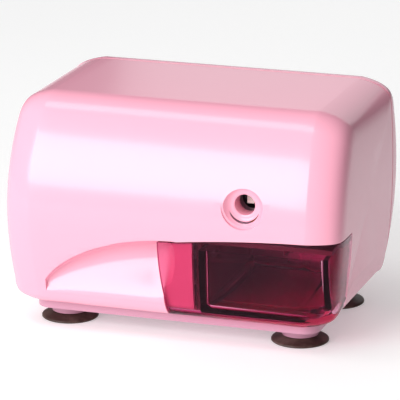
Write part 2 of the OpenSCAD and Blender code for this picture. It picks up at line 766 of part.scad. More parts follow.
module end_bush() {
    color("goldenrod") difference() {
        union() {
            bar_y(pencil_x, pencil_z, outer_plate_y - 0.6, outer_plate_y + outer_plate_t, 5);
            bar_y(pencil_x, pencil_z, outer_plate_y - 0.6, outer_plate_y, 6.5);
        }
        bar_y(pencil_x, pencil_z, outer_plate_y - 2, outer_plate_y + outer_plate_t + 1, 3 + fit);
    }
}

module chassis_pillars() {
    color("silver") for (p = pillars) difference() {
        union() {
            bar_y(pencil_x + p[0], pencil_z + p[1], ring_y, gear_plate_y, pillar_r);
            bar_y(pencil_x + p[0], pencil_z + p[1], gear_plate_y - eps, gear_plate_y + gear_plate_t, 1.4);
        }
        bar_y(pencil_x + p[0], pencil_z + p[1], ring_y - 1, ring_y + 6, pilot_r);
    }
}

module gear_standoffs() {
    color("silver") for (p = standoffs) difference() {
        union() {
            bar_y(p[0], p[1], gear_plate_y + gear_plate_t, outer_plate_y, 2.6);
            bar_y(p[0], p[1], gear_plate_y, gear_plate_y + gear_plate_t + eps, 1.4);
        }
        bar_y(p[0], p[1], outer_plate_y - 6, outer_plate_y + 1, pilot_r);
    }
}

module chassis_screws() {
    color("silver") {
        for (p = pillars) translate([pencil_x + p[0], plate_y, pencil_z + p[1]])
            rotate([90, 0, 0]) screw(2.3, 1.3, pilot_r, chassis_t + 5);
        for (p = standoffs) along_y([p[0], outer_plate_y + outer_plate_t, p[1]])
            screw(2.3, 1.3, pilot_r, outer_plate_t + 5);
    }
}

// ---- Cutting head ----

// Places local z along the cutter's tilted axle, at the pinion's middle
module on_cutter_axis() {
    translate([pencil_x, mesh_y, pencil_z + mesh_r]) rotate([-90 - point_angle, 0, 0]) children();
}

module ring_gear() {
    y1 = mesh_y + pinion_w / 2 + 1.2;
    color([0.35, 0.36, 0.38]) difference() {
        union() {
            tube_y(pencil_x, pencil_z, ring_y, y1, ring_r, ring_tip);
            for (e = ears) difference() {
                bar_y(pencil_x + e[0], pencil_z + e[1], ring_y, ring_y + ring_flange_t, 3);
                bar_y(pencil_x, pencil_z, ring_y - 1, y1, ring_tip + 1);
                bar_y(pencil_x + e[0], pencil_z + e[1], ring_y - 1, y1, pilot_r);
            }
        }
        // tooth spaces, cut along the tilt of the cutter's axle
        along_y([pencil_x, mesh_y, pencil_z]) for (k = [0:ring_teeth - 1])
            rotate(-90 + k * 360 / ring_teeth) translate([pitch_ring, 0, 0]) rotate([0, -point_angle, 0])
                translate([-pitch_ring, 0, -pinion_w / 2 - 1])
                    linear_extrude(pinion_w + 5)
                        polygon(tooth_points(fine_mod, ring_teeth, 0, -0.3, 0.25));
        for (e = ears) bar_y(pencil_x + e[0], pencil_z + e[1], ring_y - 1, y1, pilot_r);
    }
}

module ring_screws() {
    color("silver") for (e = ears)
        along_y([pencil_x + e[0], ring_y + ring_flange_t, pencil_z + e[1]]) screw(2.1, 1.3, pilot_r, 4.6);
}

module cutter_carrier() {
    disc_end = carrier_disc_y + carrier_disc_t;
    rear_end = carrier_rear_y + carrier_wall_t;
    color("silver") difference() {
        union() {
            bar_y(pencil_x, pencil_z, plate_y - 0.5, carrier_disc_y + eps, journal_r);
            bar_y(pencil_x, pencil_z, ring_y, carrier_disc_y + eps, journal_r + 1.5);
            bar_y(pencil_x, pencil_z, carrier_disc_y, disc_end, carrier_r);
            tube_y(pencil_x, pencil_z, disc_end - eps, carrier_rear_y + eps, carrier_r, carrier_r - 3);
            bar_y(pencil_x, pencil_z, carrier_rear_y, rear_end, carrier_r);
            bar_y(pencil_x, pencil_z, rear_end - eps, gear_plate_y - 0.3, carrier_shaft_r + 2);
            bar_y(pencil_x, pencil_z, gear_plate_y - 0.3 - eps, outer_plate_y - 0.8, carrier_shaft_r);
            bar_y(pencil_x, pencil_z, outer_plate_y - 0.8 - eps, outer_plate_y + outer_plate_t + 1, 3);
        }
        bar_y(pencil_x, pencil_z, plate_y - 2, carrier_rear_y, carrier_bore_r);
        // room for the cutter and its pinion, and windows that let the shavings fall
        on_cutter_axis() {
            translate([0, 0, -pinion_w / 2 - 0.5]) cylinder(r = pitch_cutter + 1.2, h = pinion_w + 1);
            cylinder(r = cutter_r + 0.7, h = cutter_y + cutter_len - mesh_y + 1.6);
            translate([0, 0, -20]) cylinder(r = cutter_axle_r, h = 60);
        }
        translate([pencil_x - cutter_r - 1, disc_end, pencil_z])
            cube([2 * cutter_r + 2, carrier_rear_y - disc_end - 1, 2 * carrier_r]);
        translate([pencil_x - 2 * carrier_r, disc_end + 6, pencil_z - 7])
            cube([4 * carrier_r, carrier_rear_y - disc_end - 10, 10]);
    }
}

module cutter_axle() {
    front = (carrier_disc_y + 0.4 - mesh_y) / cos(point_angle);
    rear = (carrier_rear_y + carrier_wall_t - 0.6 - mesh_y) / cos(point_angle);
    color("silver") on_cutter_axis() translate([0, 0, front]) cylinder(r = cutter_axle_r, h = rear - front);
}

module cutter_pinion() {
    color([0.45, 0.45, 0.47]) on_cutter_axis() translate([0, 0, -pinion_w / 2])
        gear(fine_mod, cutter_teeth, pinion_w, cutter_axle_r + fit, -90);
}

function flute_points() = [for (k = [0:flutes - 1]) each [polar(cutter_r, k * 360 / flutes),
    polar(cutter_r * 0.99, (k + 0.2) * 360 / flutes), polar(cutter_r * 0.84, (k + 0.62) * 360 / flutes),
    polar(cutter_r * 0.86, (k + 0.9) * 360 / flutes)]];

module helical_cutter() {
    color([0.6, 0.6, 0.62]) on_cutter_axis() difference() {
        union() {
            translate([0, 0, pinion_w / 2]) cylinder(r = cutter_r * 0.8, h = 0.4 + eps);
            translate([0, 0, pinion_w / 2 + 0.4])
                linear_extrude(cutter_len, twist = -170, slices = 15) polygon(flute_points());
        }
        cylinder(r = cutter_axle_r + fit, h = 60);
    }
}

// ---- Gear train ----

module main_gear() {
    toward_idler = 180 + idler_dir;
    color([0.92, 0.92, 0.88]) along_y([pencil_x, main_y, pencil_z]) difference() {
        union() {
            gear(main_mod, main_teeth, main_w, carrier_shaft_r, toward_idler + 180 / main_teeth);
            translate([0, 0, -0.8]) difference() {
                cylinder(r = 7, h = main_w + 1.6);
                translate([0, 0, -1]) cylinder(r = carrier_shaft_r, h = main_w + 4);
            }
        }
        for (a = [0:60:300]) rotate(a) translate([14.5, 0, -1]) cylinder(r = 4, h = main_w + 2);
    }
}

module idler_gear() {
    toward_main = idler_dir;
    toward_motor = 180 - motor_dir;
    color([0.92, 0.92, 0.88]) {
        along_y([idler_x, main_y, idler_z])
            gear(main_mod, idler_small, main_w + 0.5 + eps, idler_axle_r + fit, toward_main);
        along_y([idler_x, idler_wheel_y, idler_z]) difference() {
            gear(fine_mod, idler_large, idler_wheel_w, idler_axle_r + fit, toward_motor);
            for (a = [0:60:300]) rotate(a) translate([13, 0, -1]) cylinder(r = 3.6, h = idler_wheel_w + 2);
        }
    }
}

module idler_axle() {
    color("silver") bar_y(idler_x, idler_z, gear_plate_y, outer_plate_y + outer_plate_t, idler_axle_r);
}

module motor_pinion() {
    color("goldenrod") along_y([motor_x, idler_wheel_y - 1.5, motor_z])
        gear(fine_mod, motor_teeth, idler_wheel_w + 1.9, motor_shaft_r, -motor_dir + 180 / motor_teeth);
}

// ---- Motor ----

module motor_shaft() {
    color("silver")
        bar_y(motor_x, motor_z, fan_y - 1.5, idler_wheel_y + idler_wheel_w + 0.6, motor_shaft_r);
}

module armature_core() {
    color([0.5, 0.5, 0.52]) along_y([motor_x, stack_y, motor_z]) difference() {
        cylinder(r = armature_r, h = stack_len);
        translate([0, 0, -1]) cylinder(r = motor_shaft_r, h = stack_len + 2);
        for (k = [0:11]) rotate(k * 30) translate([armature_r - 4, -0.9, -1]) cube([5, 1.8, stack_len + 2]);
    }
}

module armature_windings() {
    color([0.72, 0.38, 0.18]) {
        tube_y(motor_x, motor_z, stack_y - 4.5, stack_y, armature_r - 1.6, motor_shaft_r);
        tube_y(motor_x, motor_z, stack_y + stack_len, stack_y + stack_len + 3.2, armature_r - 1.6,
            motor_shaft_r);
    }
}

module commutator() {
    color([0.75, 0.45, 0.25]) along_y([motor_x, commutator_y, motor_z]) difference() {
        cylinder(r = commutator_r, h = commutator_len);
        translate([0, 0, -1]) cylinder(r = motor_shaft_r, h = commutator_len + 2);
        for (k = [0:11]) rotate(15 + k * 30) translate([commutator_r - 0.5, -0.2, -1])
            cube([2, 0.4, commutator_len + 2]);
    }
}

module cooling_fan() {
    color([0.2, 0.2, 0.22]) along_y([motor_x, fan_y, motor_z]) difference() {
        union() {
            cylinder(r = 5, h = fan_w);
            cylinder(r = fan_r - 0.5, h = 0.9);
            for (k = [0:fan_blades - 1]) rotate(k * 360 / fan_blades) translate([4, -0.5, 0])
                cube([fan_r - 4.5, 1, fan_w]);
        }
        translate([0, 0, -1]) cylinder(r = motor_shaft_r, h = fan_w + 2);
    }
}

module stack_bolt_holes(y0, y1, r) {
    for (sx = [-1, 1], sz = [-1, 1])
        bar_y(motor_x + sx * bolt_dx, motor_z + sz * bolt_dz, y0, y1, r);
}

module motor_stack() {
    slot_x = armature_r + air_gap;
    color([0.55, 0.56, 0.58]) difference() {
        plate_xz(motor_x - stack_w / 2, motor_x + stack_w / 2, motor_z - stack_h / 2, motor_z + stack_h / 2,
            stack_y, stack_len);
        bar_y(motor_x, motor_z, stack_y - 1, gear_plate_y, armature_r + air_gap);
        for (sx = [-1, 1], sz = [-1, 1]) translate([motor_x + sx * (slot_x + coil_t / 2), 0,
            motor_z + sz * (pole_half + slot_h / 2)])
            translate([-coil_t / 2 - 0.1, stack_y - 1, -slot_h / 2])
                cube([coil_t + 0.2, stack_len + 2, slot_h]);
        stack_bolt_holes(stack_y - 1, gear_plate_y, motor_bolt_r + 0.2);
    }
}

module field_coil(sx) {
    x0 = motor_x + sx * (armature_r + air_gap + coil_t / 2) - coil_t / 2;
    h = pole_half + slot_h - 0.3;
    head = 3.6;
    color([0.7, 0.32, 0.16]) difference() {
        translate([x0, stack_y - head, motor_z - h]) cube([coil_t, stack_len + 2 * head, 2 * h]);
        translate([x0 - 1, stack_y - 0.1, motor_z - pole_half - 0.2])
            cube([coil_t + 2, stack_len + 0.2, 2 * pole_half + 0.4]);
    }
}
module field_coil_left() { field_coil(-1); }
module field_coil_right() { field_coil(1); }

module motor_front_bracket() {
    y1 = front_bracket_y + bracket_t;
    w = stack_w / 2;
    h = stack_h / 2;
    color("gainsboro") difference() {
        union() {
            plate_xz(motor_x - w, motor_x + w, motor_z - h, motor_z + h, front_bracket_y, bracket_t);
            bar_y(motor_x, motor_z, front_bracket_y - 1.5, y1, 5);
            stack_bolt_holes(front_bracket_y, stack_y, 3);
            // arms that hold the brush holders
            for (sx = [-1, 1]) translate([motor_x + sx * (w - 9) - 1.5, front_bracket_y, motor_z - 3])
                cube([3, bracket_t + 1.6, 6]);
        }
        bar_y(motor_x, motor_z, front_bracket_y - 3, y1 + 1, motor_shaft_r + fit);
        stack_bolt_holes(front_bracket_y - 1, stack_y + 1, motor_bolt_r);
        for (sx = [-1, 1], sz = [-1, 1]) translate([motor_x + sx * 9.5, 0, motor_z + sz * 9.5])
            translate([-5, front_bracket_y - 1, -4]) cube([10, bracket_t + 2, 8]);
    }
}

module motor_bolts() {
    color("silver") for (sx = [-1, 1], sz = [-1, 1])
        translate([motor_x + sx * bolt_dx, front_bracket_y, motor_z + sz * bolt_dz]) rotate([90, 0, 0])
            screw(2.7, 1.8, motor_bolt_r, gear_plate_y + gear_plate_t - front_bracket_y);
}

brush = [8, 4, 4];
module brush_row(sx, size, x0) {
    translate([motor_x + sx * (x0 + size[0] / 2), commutator_y + commutator_len / 2 + 0.6, motor_z])
        translate([-size[0] / 2, -size[1] / 2, -size[2] / 2]) cube(size);
}

module brush_holders() {
    color("goldenrod") for (sx = [-1, 1]) difference() {
        brush_row(sx, [9.5, 5.6, 5.6], commutator_r + 1.2);
        brush_row(sx, [12, brush[1], brush[2]], commutator_r + 0.1);
    }
}

module carbon_brushes() {
    color([0.12, 0.12, 0.12]) for (sx = [-1, 1]) brush_row(sx, brush, commutator_r + 0.15);
}

// ---- Switches and electrics ----

module start_lever() {
    color("white") difference() {
        union() {
            bar_y(lever_x, lever_z, lever_y, lever_y + lever_t, 3.2);
            translate([pencil_x - 1.5, lever_y, lever_z - 1.6]) cube([lever_arm + 1.5, lever_t, 3.2]);
            translate([pencil_x - 1.5, lever_y, lever_z - 4.5]) cube([3, lever_t, 6]);
        }
        bar_y(lever_x, lever_z, lever_y - 1, lever_y + lever_t + 1, lever_pin_r + fit);
    }
}

module lever_pin() {
    color("silver") {
        bar_y(lever_x, lever_z, lever_y - 0.2, ring_y, lever_pin_r);
        bar_y(lever_x, lever_z, lever_y - 1, lever_y - 0.2, lever_pin_r + 1);
    }
}

module start_switch() {
    color([0.15, 0.15, 0.16]) union() {
        translate([pencil_x - 6, lever_y - 0.8, lever_z + 8.6]) cube([13, plate_y - lever_y + 0.8, 6.5]);
        translate([pencil_x + 3, lever_y + 0.2, lever_z + 6.2]) cube([2, 1.8, 2.5]);
    }
}

module drawer_switch() {
    y0 = gear_plate_y + gear_plate_t;
    color([0.15, 0.15, 0.16]) difference() {
        translate([switch_x - 6, y0, switch_z - 5]) cube([12, 7.5, 10]);
        bar_y(switch_x, switch_z, y0 - 1, y0 + 6, plunger_r + fit);
    }
}

module switch_plunger() {
    front = bin_back + 0.6 + plunger_gap;
    color("crimson") bar_y(switch_x, switch_z, front, gear_plate_y + gear_plate_t + 4, plunger_r);
}

module circuit_board() {
    color([0.55, 0.42, 0.2]) difference() {
        translate(board_at) cube(board);
        board_holes(1, board_at[2] - 1, board_at[2] + 5);
    }
}

module board_screws() {
    across = [board_inset, board[0] - board_inset];
    along = [board_inset, board[1] - board_inset];
    color("silver") for (x = across, y = along)
        translate([board_at[0] + x, board_at[1] + y, board_at[2] + board[2]]) screw(2, 1.2, 0.8, 5);
}

board_top = board_at[2] + board[2];
module noise_capacitor() {
    color([0.85, 0.75, 0.25]) translate([board_at[0] + 14, board_at[1] + 8, board_top]) cube([13, 6, 10]);
}

module terminal_block() {
    color([0.9, 0.9, 0.88]) difference() {
        translate([board_at[0] + 6, board_at[1] + 26, board_top]) cube([18, 9, 8]);
        for (x = [11, 19]) translate([board_at[0] + x, board_at[1] + 30.5, board_top + 2])
            cylinder(r = 2, h = 8);
    }
}

module fuse() {
    color("gainsboro") translate([board_at[0] + 5, board_at[1] + 20, board_top + 2.6]) rotate([0, 90, 0]) {
        cylinder(r = 2.6, h = 5);
        translate([0, 0, 5 - eps]) cylinder(r = 2.2, h = 10);
        translate([0, 0, 15 - 2 * eps]) cylinder(r = 2.6, h = 5);
    }
}

front_shell();
rear_cover();
base_plate();
sucker_front_left();
sucker_front_right();
sucker_rear_left();
sucker_rear_right();
base_screws();
rear_cover_screws();
cord_gland();
shavings_drawer();
drawer_bay();
front_plate();
gear_plate();
outer_gear_plate();
chassis_pillars();
gear_standoffs();
chassis_screws();
ring_gear();
ring_screws();
front_bush();
rear_bush();
end_bush();
cutter_carrier();
main_gear();
cutter_axle();
helical_cutter();
cutter_pinion();
idler_gear();
idler_axle();
motor_pinion();
motor_shaft();
armature_core();
armature_windings();
commutator();
cooling_fan();
motor_stack();
field_coil_left();
field_coil_right();
motor_front_bracket();
motor_bolts();
brush_holders();
carbon_brushes();
start_lever();
lever_pin();
start_switch();
drawer_switch();
switch_plunger();
circuit_board();
board_screws();
noise_capacitor();
terminal_block();
fuse();
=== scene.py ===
import json
import math

import bmesh
import bpy
import numpy as np
from bpy.props import FloatProperty, FloatVectorProperty, IntProperty, PointerProperty
from mathutils import Matrix, Vector


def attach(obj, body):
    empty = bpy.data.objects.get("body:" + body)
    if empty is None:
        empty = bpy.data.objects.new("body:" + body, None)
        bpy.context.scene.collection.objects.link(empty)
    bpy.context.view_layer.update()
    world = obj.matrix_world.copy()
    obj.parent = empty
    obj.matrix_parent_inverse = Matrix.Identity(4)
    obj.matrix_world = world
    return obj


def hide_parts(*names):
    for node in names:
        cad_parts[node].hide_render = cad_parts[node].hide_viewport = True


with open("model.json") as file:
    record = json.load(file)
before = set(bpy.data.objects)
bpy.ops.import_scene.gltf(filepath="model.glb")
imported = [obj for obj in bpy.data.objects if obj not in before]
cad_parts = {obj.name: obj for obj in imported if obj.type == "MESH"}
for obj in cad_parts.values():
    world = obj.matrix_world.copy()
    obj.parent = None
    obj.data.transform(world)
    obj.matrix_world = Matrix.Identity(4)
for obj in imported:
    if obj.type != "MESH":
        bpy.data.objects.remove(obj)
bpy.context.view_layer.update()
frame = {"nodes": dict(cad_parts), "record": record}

bl_info = {
    "name": "Desk Pencil Sharpener",
    "version": (1, 0, 0),
    "blender": (4, 5, 0),
    "location": "3D View > Sidebar > Sharpener",
    "description": "Finishes an electric desk sharpener and its see-through drawer around its packed parts",
    "category": "Add Mesh",
}

MM = 0.001
NODES = frame["nodes"]


def colour_prop(name, description, default):
    return FloatVectorProperty(name=name, description=description, default=default, size=3, min=0, max=1,
                               subtype="COLOR")


def length_prop(name, description, default, low, high):
    """A size in millimetres, kept in metres"""
    return FloatProperty(name=name, description=description, default=default * MM, min=low * MM,
                         max=high * MM, subtype="DISTANCE", unit="LENGTH", precision=5)


# ---- Sizes and colours ----

class CasingSizes(bpy.types.PropertyGroup):
    wall: length_prop("Wall", "Thickness of the casing's wall", 2.5, 2, 3)
    scoop_depth: length_prop("Scoop depth", "Depth of the finger scoop", 12, 8, 14)
    scoop_lip: length_prop("Scoop lip", "Roll of the edge over the finger scoop", 1.1, 0.2, 2)
    groove: length_prop("Seam groove", "Depth of the groove before the rear cover", 0.5, 0.2, 1)
    mouth: length_prop("Mouth radius", "Radius of the dish round the pencil hole", 8.6, 7, 10)
    colour: colour_prop("Body colour", "Pearl pink of the casing", (0.90, 0.39, 0.51))
    base_colour: colour_prop("Base colour", "Pink of the base tray", (0.55, 0.27, 0.37))


class DrawerSizes(bpy.types.PropertyGroup):
    plate: length_prop("Front plate", "Thickness of the drawer's front plate", 2.5, 2, 3)
    bin_wall: length_prop("Bin wall", "Thickness of the bin's walls", 1.8, 1.4, 2.4)
    gap: length_prop("Gap", "Gap round the drawer", 0.4, 0.3, 0.6)
    tint: colour_prop("Tint", "Colour of light past one surface of the drawer", (0.74, 0.33, 0.48))
    edge: colour_prop("Edge", "Colour that gathers in the drawer's cut edges", (0.80, 0.05, 0.30))


class FixingSizes(bpy.types.PropertyGroup):
    head: length_prop("Screw head", "Radius of a screw's head", 2.7, 2, 3.2)
    head_height: length_prop("Head height", "Height of a screw's head", 1.6, 1, 2.4)
    shank: length_prop("Shank", "Radius of a screw's shank", 1.2, 0.8, 1.6)
    cup: length_prop("Sucker rim", "Radius of a sucker's rim", 12.2, 10, 14)
    vents: IntProperty(name="Vents", description="Number of slots in the rear cover", default=6, min=2, max=9)


# ---- Shader maths ----

class Wire:
    """A socket of a node tree, with sums written as operators"""

    def __init__(self, tree, socket):
        self.tree, self.socket = tree, socket

    def _math(self, operation, first, second):
        node = self.tree.nodes.new("ShaderNodeMath")
        node.operation = operation
        for socket, value in zip(node.inputs, (first, second)):
            plug(self.tree, socket, value)
        return Wire(self.tree, node.outputs[0])

    def __add__(self, other):
        return self._math("ADD", self, other)

    def __radd__(self, other):
        return self._math("ADD", other, self)

    def __sub__(self, other):
        return self._math("SUBTRACT", self, other)

    def __rsub__(self, other):
        return self._math("SUBTRACT", other, self)

    def __mul__(self, other):
        return self._math("MULTIPLY", self, other)

    def __rmul__(self, other):
        return self._math("MULTIPLY", other, self)

    def __truediv__(self, other):
        return self._math("DIVIDE", self, other)

    def __rtruediv__(self, other):
        return self._math("DIVIDE", other, self)


def plug(tree, socket, value):
    """Link a wire to a socket, or set a number, vector or colour on it"""
    if isinstance(value, Wire):
        tree.links.new(value.socket, socket)
    elif isinstance(value, (tuple, list)) and len(value) == 3 and len(socket.default_value) == 4:
        socket.default_value = (*value, 1)
    else:
        socket.default_value = value


class Finish:
    """A material that is built up node by node on one Principled shader"""

    def __init__(self, name, **fixed):
        self.material = bpy.data.materials.new(name)
        self.material.use_nodes = True
        self.tree = self.material.node_tree
        self.shader = self.tree.nodes["Principled BSDF"]
        self.output = self.tree.nodes["Material Output"]
        for key, value in fixed.items():
            self.shader.inputs[key.replace("_", " ").title().replace("Ior", "IOR")].default_value = value

    def node(self, kind, settings=None, values=None, out=0):
        node = self.tree.nodes.new(kind)
        for key, value in (settings or {}).items():
            if key == "ramp":
                stops = node.color_ramp.elements
                while len(stops) < len(value):
                    stops.new(0.5)
                for stop, (place, tone) in zip(stops, value):
                    stop.position = place
                    stop.color = (tone,) * 3 + (1,) if isinstance(tone, (int, float)) else (*tone, 1)
            else:
                setattr(node, key, value)
        for key, value in (values or {}).items():
            plug(self.tree, node.inputs[key], value)
        return Wire(self.tree, node.outputs[out])

    def place(self, scale=(1, 1, 1), turn=(0, 0, 0)):
        where = self.node("ShaderNodeTexCoord", out=3)
        return self.node("ShaderNodeMapping", values={"Vector": where, "Scale": scale, "Rotation": turn})

    def noise(self, scale, where=None, detail=2, rough=0.5):
        return self.node("ShaderNodeTexNoise", values={
            "Vector": where or self.place(), "Scale": scale, "Detail": detail, "Roughness": rough})

    def blend(self, share, first, second):
        return self.node("ShaderNodeMix", {"data_type": "RGBA"}, {0: share, 6: first, 7: second}, out=2)

    def ramp(self, value, stops):
        return self.node("ShaderNodeValToRGB", {"ramp": stops}, {"Fac": value})

    def bump(self, height, distance, strength=1.0):
        return self.node("ShaderNodeBump", values={"Height": height, "Distance": distance, "Strength": strength})

    def set(self, **wires):
        for key, value in wires.items():
            plug(self.tree, self.shader.inputs[key.replace("_", " ").title()], value)
        return self.material


def shade(colour, factor):
    return tuple(min(1, c * factor) for c in colour)


def moulded_gloss(name, colour, roughness=0.24, coat=0.35):
    """Injection-moulded gloss plastic: faint flow clouds, polish marks and a very shallow orange peel"""
    f = Finish(name, coat_roughness=0.12, ior=1.4)
    clouds = f.noise(14, detail=3)
    flow = f.noise(55, f.place((1, 1, 2.6)), detail=4, rough=0.6)
    marks = f.noise(240, f.place((1, 6, 1), (0.3, 0.2, 0.5)), detail=2)
    peel = f.noise(420, detail=1)
    tone = f.blend(clouds, shade(colour, 0.985), shade(colour, 1.015))
    tone = f.blend(flow * 0.12, tone, shade(colour, 0.94))
    rough = marks * 0.06 + clouds * 0.05 + (roughness - 0.05)
    return f.set(base_color=tone, roughness=rough, coat_weight=clouds * 0.1 + coat,
                 normal=f.bump(peel, 0.00001, 0.5))


def moulded_satin(name, colour, roughness=0.45, grain=900, depth=0.00004):
    """Satin plastic with a fine spark-eroded grain"""
    f = Finish(name)
    grit = f.noise(grain, detail=3, rough=0.7)
    patch = f.noise(30, detail=3)
    tone = f.blend(patch, shade(colour, 0.88), shade(colour, 1.12))
    return f.set(base_color=tone, roughness=patch * 0.12 + grit * 0.1 + (roughness - 0.1),
                 normal=f.bump(grit, depth, 0.8))


def rubber(name, colour):
    """Soft rubber: moulding bloom, dust in the hollows and a matt skin"""
    f = Finish(name, specular_ior_level=0.35)
    bloom = f.noise(120, detail=4, rough=0.65)
    rings = f.node("ShaderNodeTexWave", {"wave_type": "BANDS", "bands_direction": "Z"},
                   {"Vector": f.place(), "Scale": 260, "Distortion": 0.4})
    tone = f.blend(f.ramp(bloom, [(0.45, 0), (0.8, 0.6)]), colour, (0.21, 0.14, 0.12))
    return f.set(base_color=tone, roughness=bloom * 0.2 + 0.36,
                 normal=f.bump(bloom * 0.7 + rings * 0.1, 0.00005))


def turned_metal(name, colour, roughness=0.28, stretch=(1, 18, 1), dark=0.6, depth=0.00003):
    """Plated or ground metal with drawn lines, stains and duller patches"""
    f = Finish(name, metallic=1.0)
    lines = f.noise(260, f.place(stretch), detail=3)
    stains = f.ramp(f.noise(45, detail=5, rough=0.65), [(0.35, 0), (0.7, 1)])
    tone = f.blend(stains * 0.45, colour, shade(colour, dark))
    return f.set(base_color=tone, roughness=lines * 0.16 + stains * 0.12 + (roughness - 0.1),
                 normal=f.bump(lines, depth, 0.7))


def cast_metal(name, colour):
    """Die-cast alloy with a grainy skin"""
    f = Finish(name, metallic=1.0)
    grains = f.node("ShaderNodeTexVoronoi", values={"Vector": f.place(), "Scale": 700})
    clouds = f.noise(60, detail=4)
    return f.set(base_color=f.blend(clouds, shade(colour, 0.78), shade(colour, 1.1)),
                 roughness=clouds * 0.2 + 0.3, normal=f.bump(grains, 0.00006, 0.7))


def wound_wire(name, colour):
    """Enamelled wire laid turn beside turn, with painted shade darkening the grooves between the turns"""
    f = Finish(name, metallic=0.85)
    turns = f.node("ShaderNodeTexWave", {"wave_type": "BANDS", "bands_direction": "DIAGONAL"},
                   {"Vector": f.place(), "Scale": 520, "Distortion": 1.2, "Detail": 2, "Detail Scale": 3})
    # painted shade: the colour falls to about a third of the copper's own in the grooves between the turns
    tone = f.blend(f.ramp(turns, [(0.1, 0), (0.5, 1)]), shade(colour, 0.35), colour)
    return f.set(base_color=tone, roughness=0.5 - turns * 0.22, normal=f.bump(turns, 0.0002, 0.9))


def stacked_sheets(name, colour):
    """Punched steel sheets in a stack along the motor's length"""
    f = Finish(name, metallic=0.9)
    sheets = f.node("ShaderNodeTexWave", {"wave_type": "BANDS", "bands_direction": "Y"},
                    {"Vector": f.place(), "Scale": 320, "Distortion": 0.2})
    rust = f.ramp(f.noise(70, detail=5, rough=0.7), [(0.5, 0), (0.78, 1)])
    tone = f.blend(f.ramp(sheets, [(0.05, 0), (0.3, 1)]), shade(colour, 0.3), colour)
    return f.set(base_color=f.blend(rust * 0.5, tone, (0.28, 0.15, 0.08)), roughness=rust * 0.3 + 0.35,
                 normal=f.bump(sheets, 0.00015, 0.8))


def resin_board(name, colour):
    """Resin-bonded paper board with its fibres and faint printed tracks"""
    f = Finish(name)
    fibres = f.noise(500, f.place((1, 8, 1)), detail=3)
    tracks = f.node("ShaderNodeTexBrick", {"offset": 0.5}, {
        "Vector": f.place(), "Color1": (0, 0, 0), "Color2": (0, 0, 0), "Mortar": (1, 1, 1), "Scale": 120,
        "Mortar Size": 0.03})
    tone = f.blend(fibres, shade(colour, 0.8), shade(colour, 1.15))
    return f.set(base_color=f.blend(tracks * 0.35, tone, shade(colour, 0.5)), roughness=fibres * 0.2 + 0.45,
                 normal=f.bump(fibres, 0.00003))


def smoked_clear(name, tint, roughness=0.02, passing=1.0, clarity=1.0):
    """Tinted clear plastic with faint swirls, which lets the lamps through to what is behind it"""
    f = Finish(name, transmission_weight=clarity, ior=1.4, specular_tint=(*shade(tint, 0.8), 1))
    swirl = f.noise(40, detail=3)
    scratches = f.noise(180, f.place((1, 5, 1), (0.2, 0.4, 0.3)), detail=5, rough=0.7)
    scuffs = f.ramp(scratches, [(0.62, 0), (0.8, 1)])
    tone = f.blend(swirl * 0.3, tint, shade(tint, 0.9))
    f.set(base_color=tone, roughness=scuffs * 0.08 + roughness, normal=f.bump(swirl, 0.00003, 0.4))
    ray = f.node("ShaderNodeLightPath", out=1)
    clear = f.node("ShaderNodeBsdfTransparent", values={"Color": tint})
    shell = Wire(f.tree, f.shader.outputs[0])
    mixed = f.node("ShaderNodeMixShader", values={0: ray * passing, 1: shell, 2: clear})
    f.tree.links.new(mixed.socket, f.output.inputs["Surface"])
    return f.material


# ---- Mesh helpers, in millimetres ----

def solid(name, points, faces):
    mesh = bpy.data.meshes.new(name)
    mesh.from_pydata([tuple(map(float, p)) for p in points], [], faces)
    mesh.update()
    obj = bpy.data.objects.new(name, mesh)
    bpy.context.scene.collection.objects.link(obj)
    tidy = bmesh.new()
    tidy.from_mesh(mesh)
    bmesh.ops.remove_doubles(tidy, verts=tidy.verts, dist=1e-5)
    bmesh.ops.recalc_face_normals(tidy, faces=tidy.faces)
    tidy.to_mesh(mesh)
    tidy.free()
    return obj


def block(x0, x1, y0, y1, z0, z1):
    points = [(x, y, z) for x in (x0, x1) for y in (y0, y1) for z in (z0, z1)]
    return solid("block", points, [(0, 1, 3, 2), (4, 6, 7, 5), (0, 4, 5, 1), (2, 3, 7, 6), (0, 2, 6, 4),
                                   (1, 5, 7, 3)])


def rounded_block(x0, x1, y0, y1, z0, z1, r, lean):
    """A block with rolled edges whose front is moved back by lean(z)"""
    obj = block(x0, x1, y0, y1, z0, z1)
    roll = obj.modifiers.new("roll", "BEVEL")
    roll.width, roll.segments = r, 8
    baked(obj)
    for v in obj.data.vertices:
        if v.co.y < y0 + r + 0.1:
            v.co.y += lean(min(v.co.z, 45))
    return obj


def prism_y(outline, y0, y1):
    """An (x, z) outline drawn out along Y"""
    n = len(outline)
    points = [(x, y, z) for y in (y0, y1) for x, z in outline]
    sides = [(i, (i + 1) % n, n + (i + 1) % n, n + i) for i in range(n)]
    return solid("prism", points, sides + [tuple(range(n)), tuple(range(n, 2 * n))])


def prism_z(outline, z0, z1):
    obj = prism_y(outline, z0, z1)
    for v in obj.data.vertices:
        v.co = (v.co.x, v.co.z, v.co.y)
    obj.data.flip_normals()
    return obj


def turned(profile, centre, axis="Z", sides=48):
    """A closed solid of revolution: profile is (radius, height) from one end of the axis to the other"""
    points, faces = [], []
    for i in range(sides):
        a = 2 * math.pi * i / sides
        for r, h in profile:
            c, s = r * math.cos(a), r * math.sin(a)
            points.append((centre[0] + c, centre[1] + s, centre[2] + h) if axis == "Z"
                          else (centre[0] + c, centre[1] + h, centre[2] + s))
    n = len(profile)
    closed = profile[0][0] > 0
    for i in range(sides):
        j = (i + 1) % sides
        for k in range(n if closed else n - 1):
            m = (k + 1) % n
            faces.append((i * n + k, i * n + m, j * n + m, j * n + k))
    obj = solid("turned", points, faces)
    tidy = bmesh.new()
    tidy.from_mesh(obj.data)
    bmesh.ops.dissolve_degenerate(tidy, dist=1e-6, edges=tidy.edges)
    bmesh.ops.recalc_face_normals(tidy, faces=tidy.faces)
    tidy.to_mesh(obj.data)
    tidy.free()
    return obj


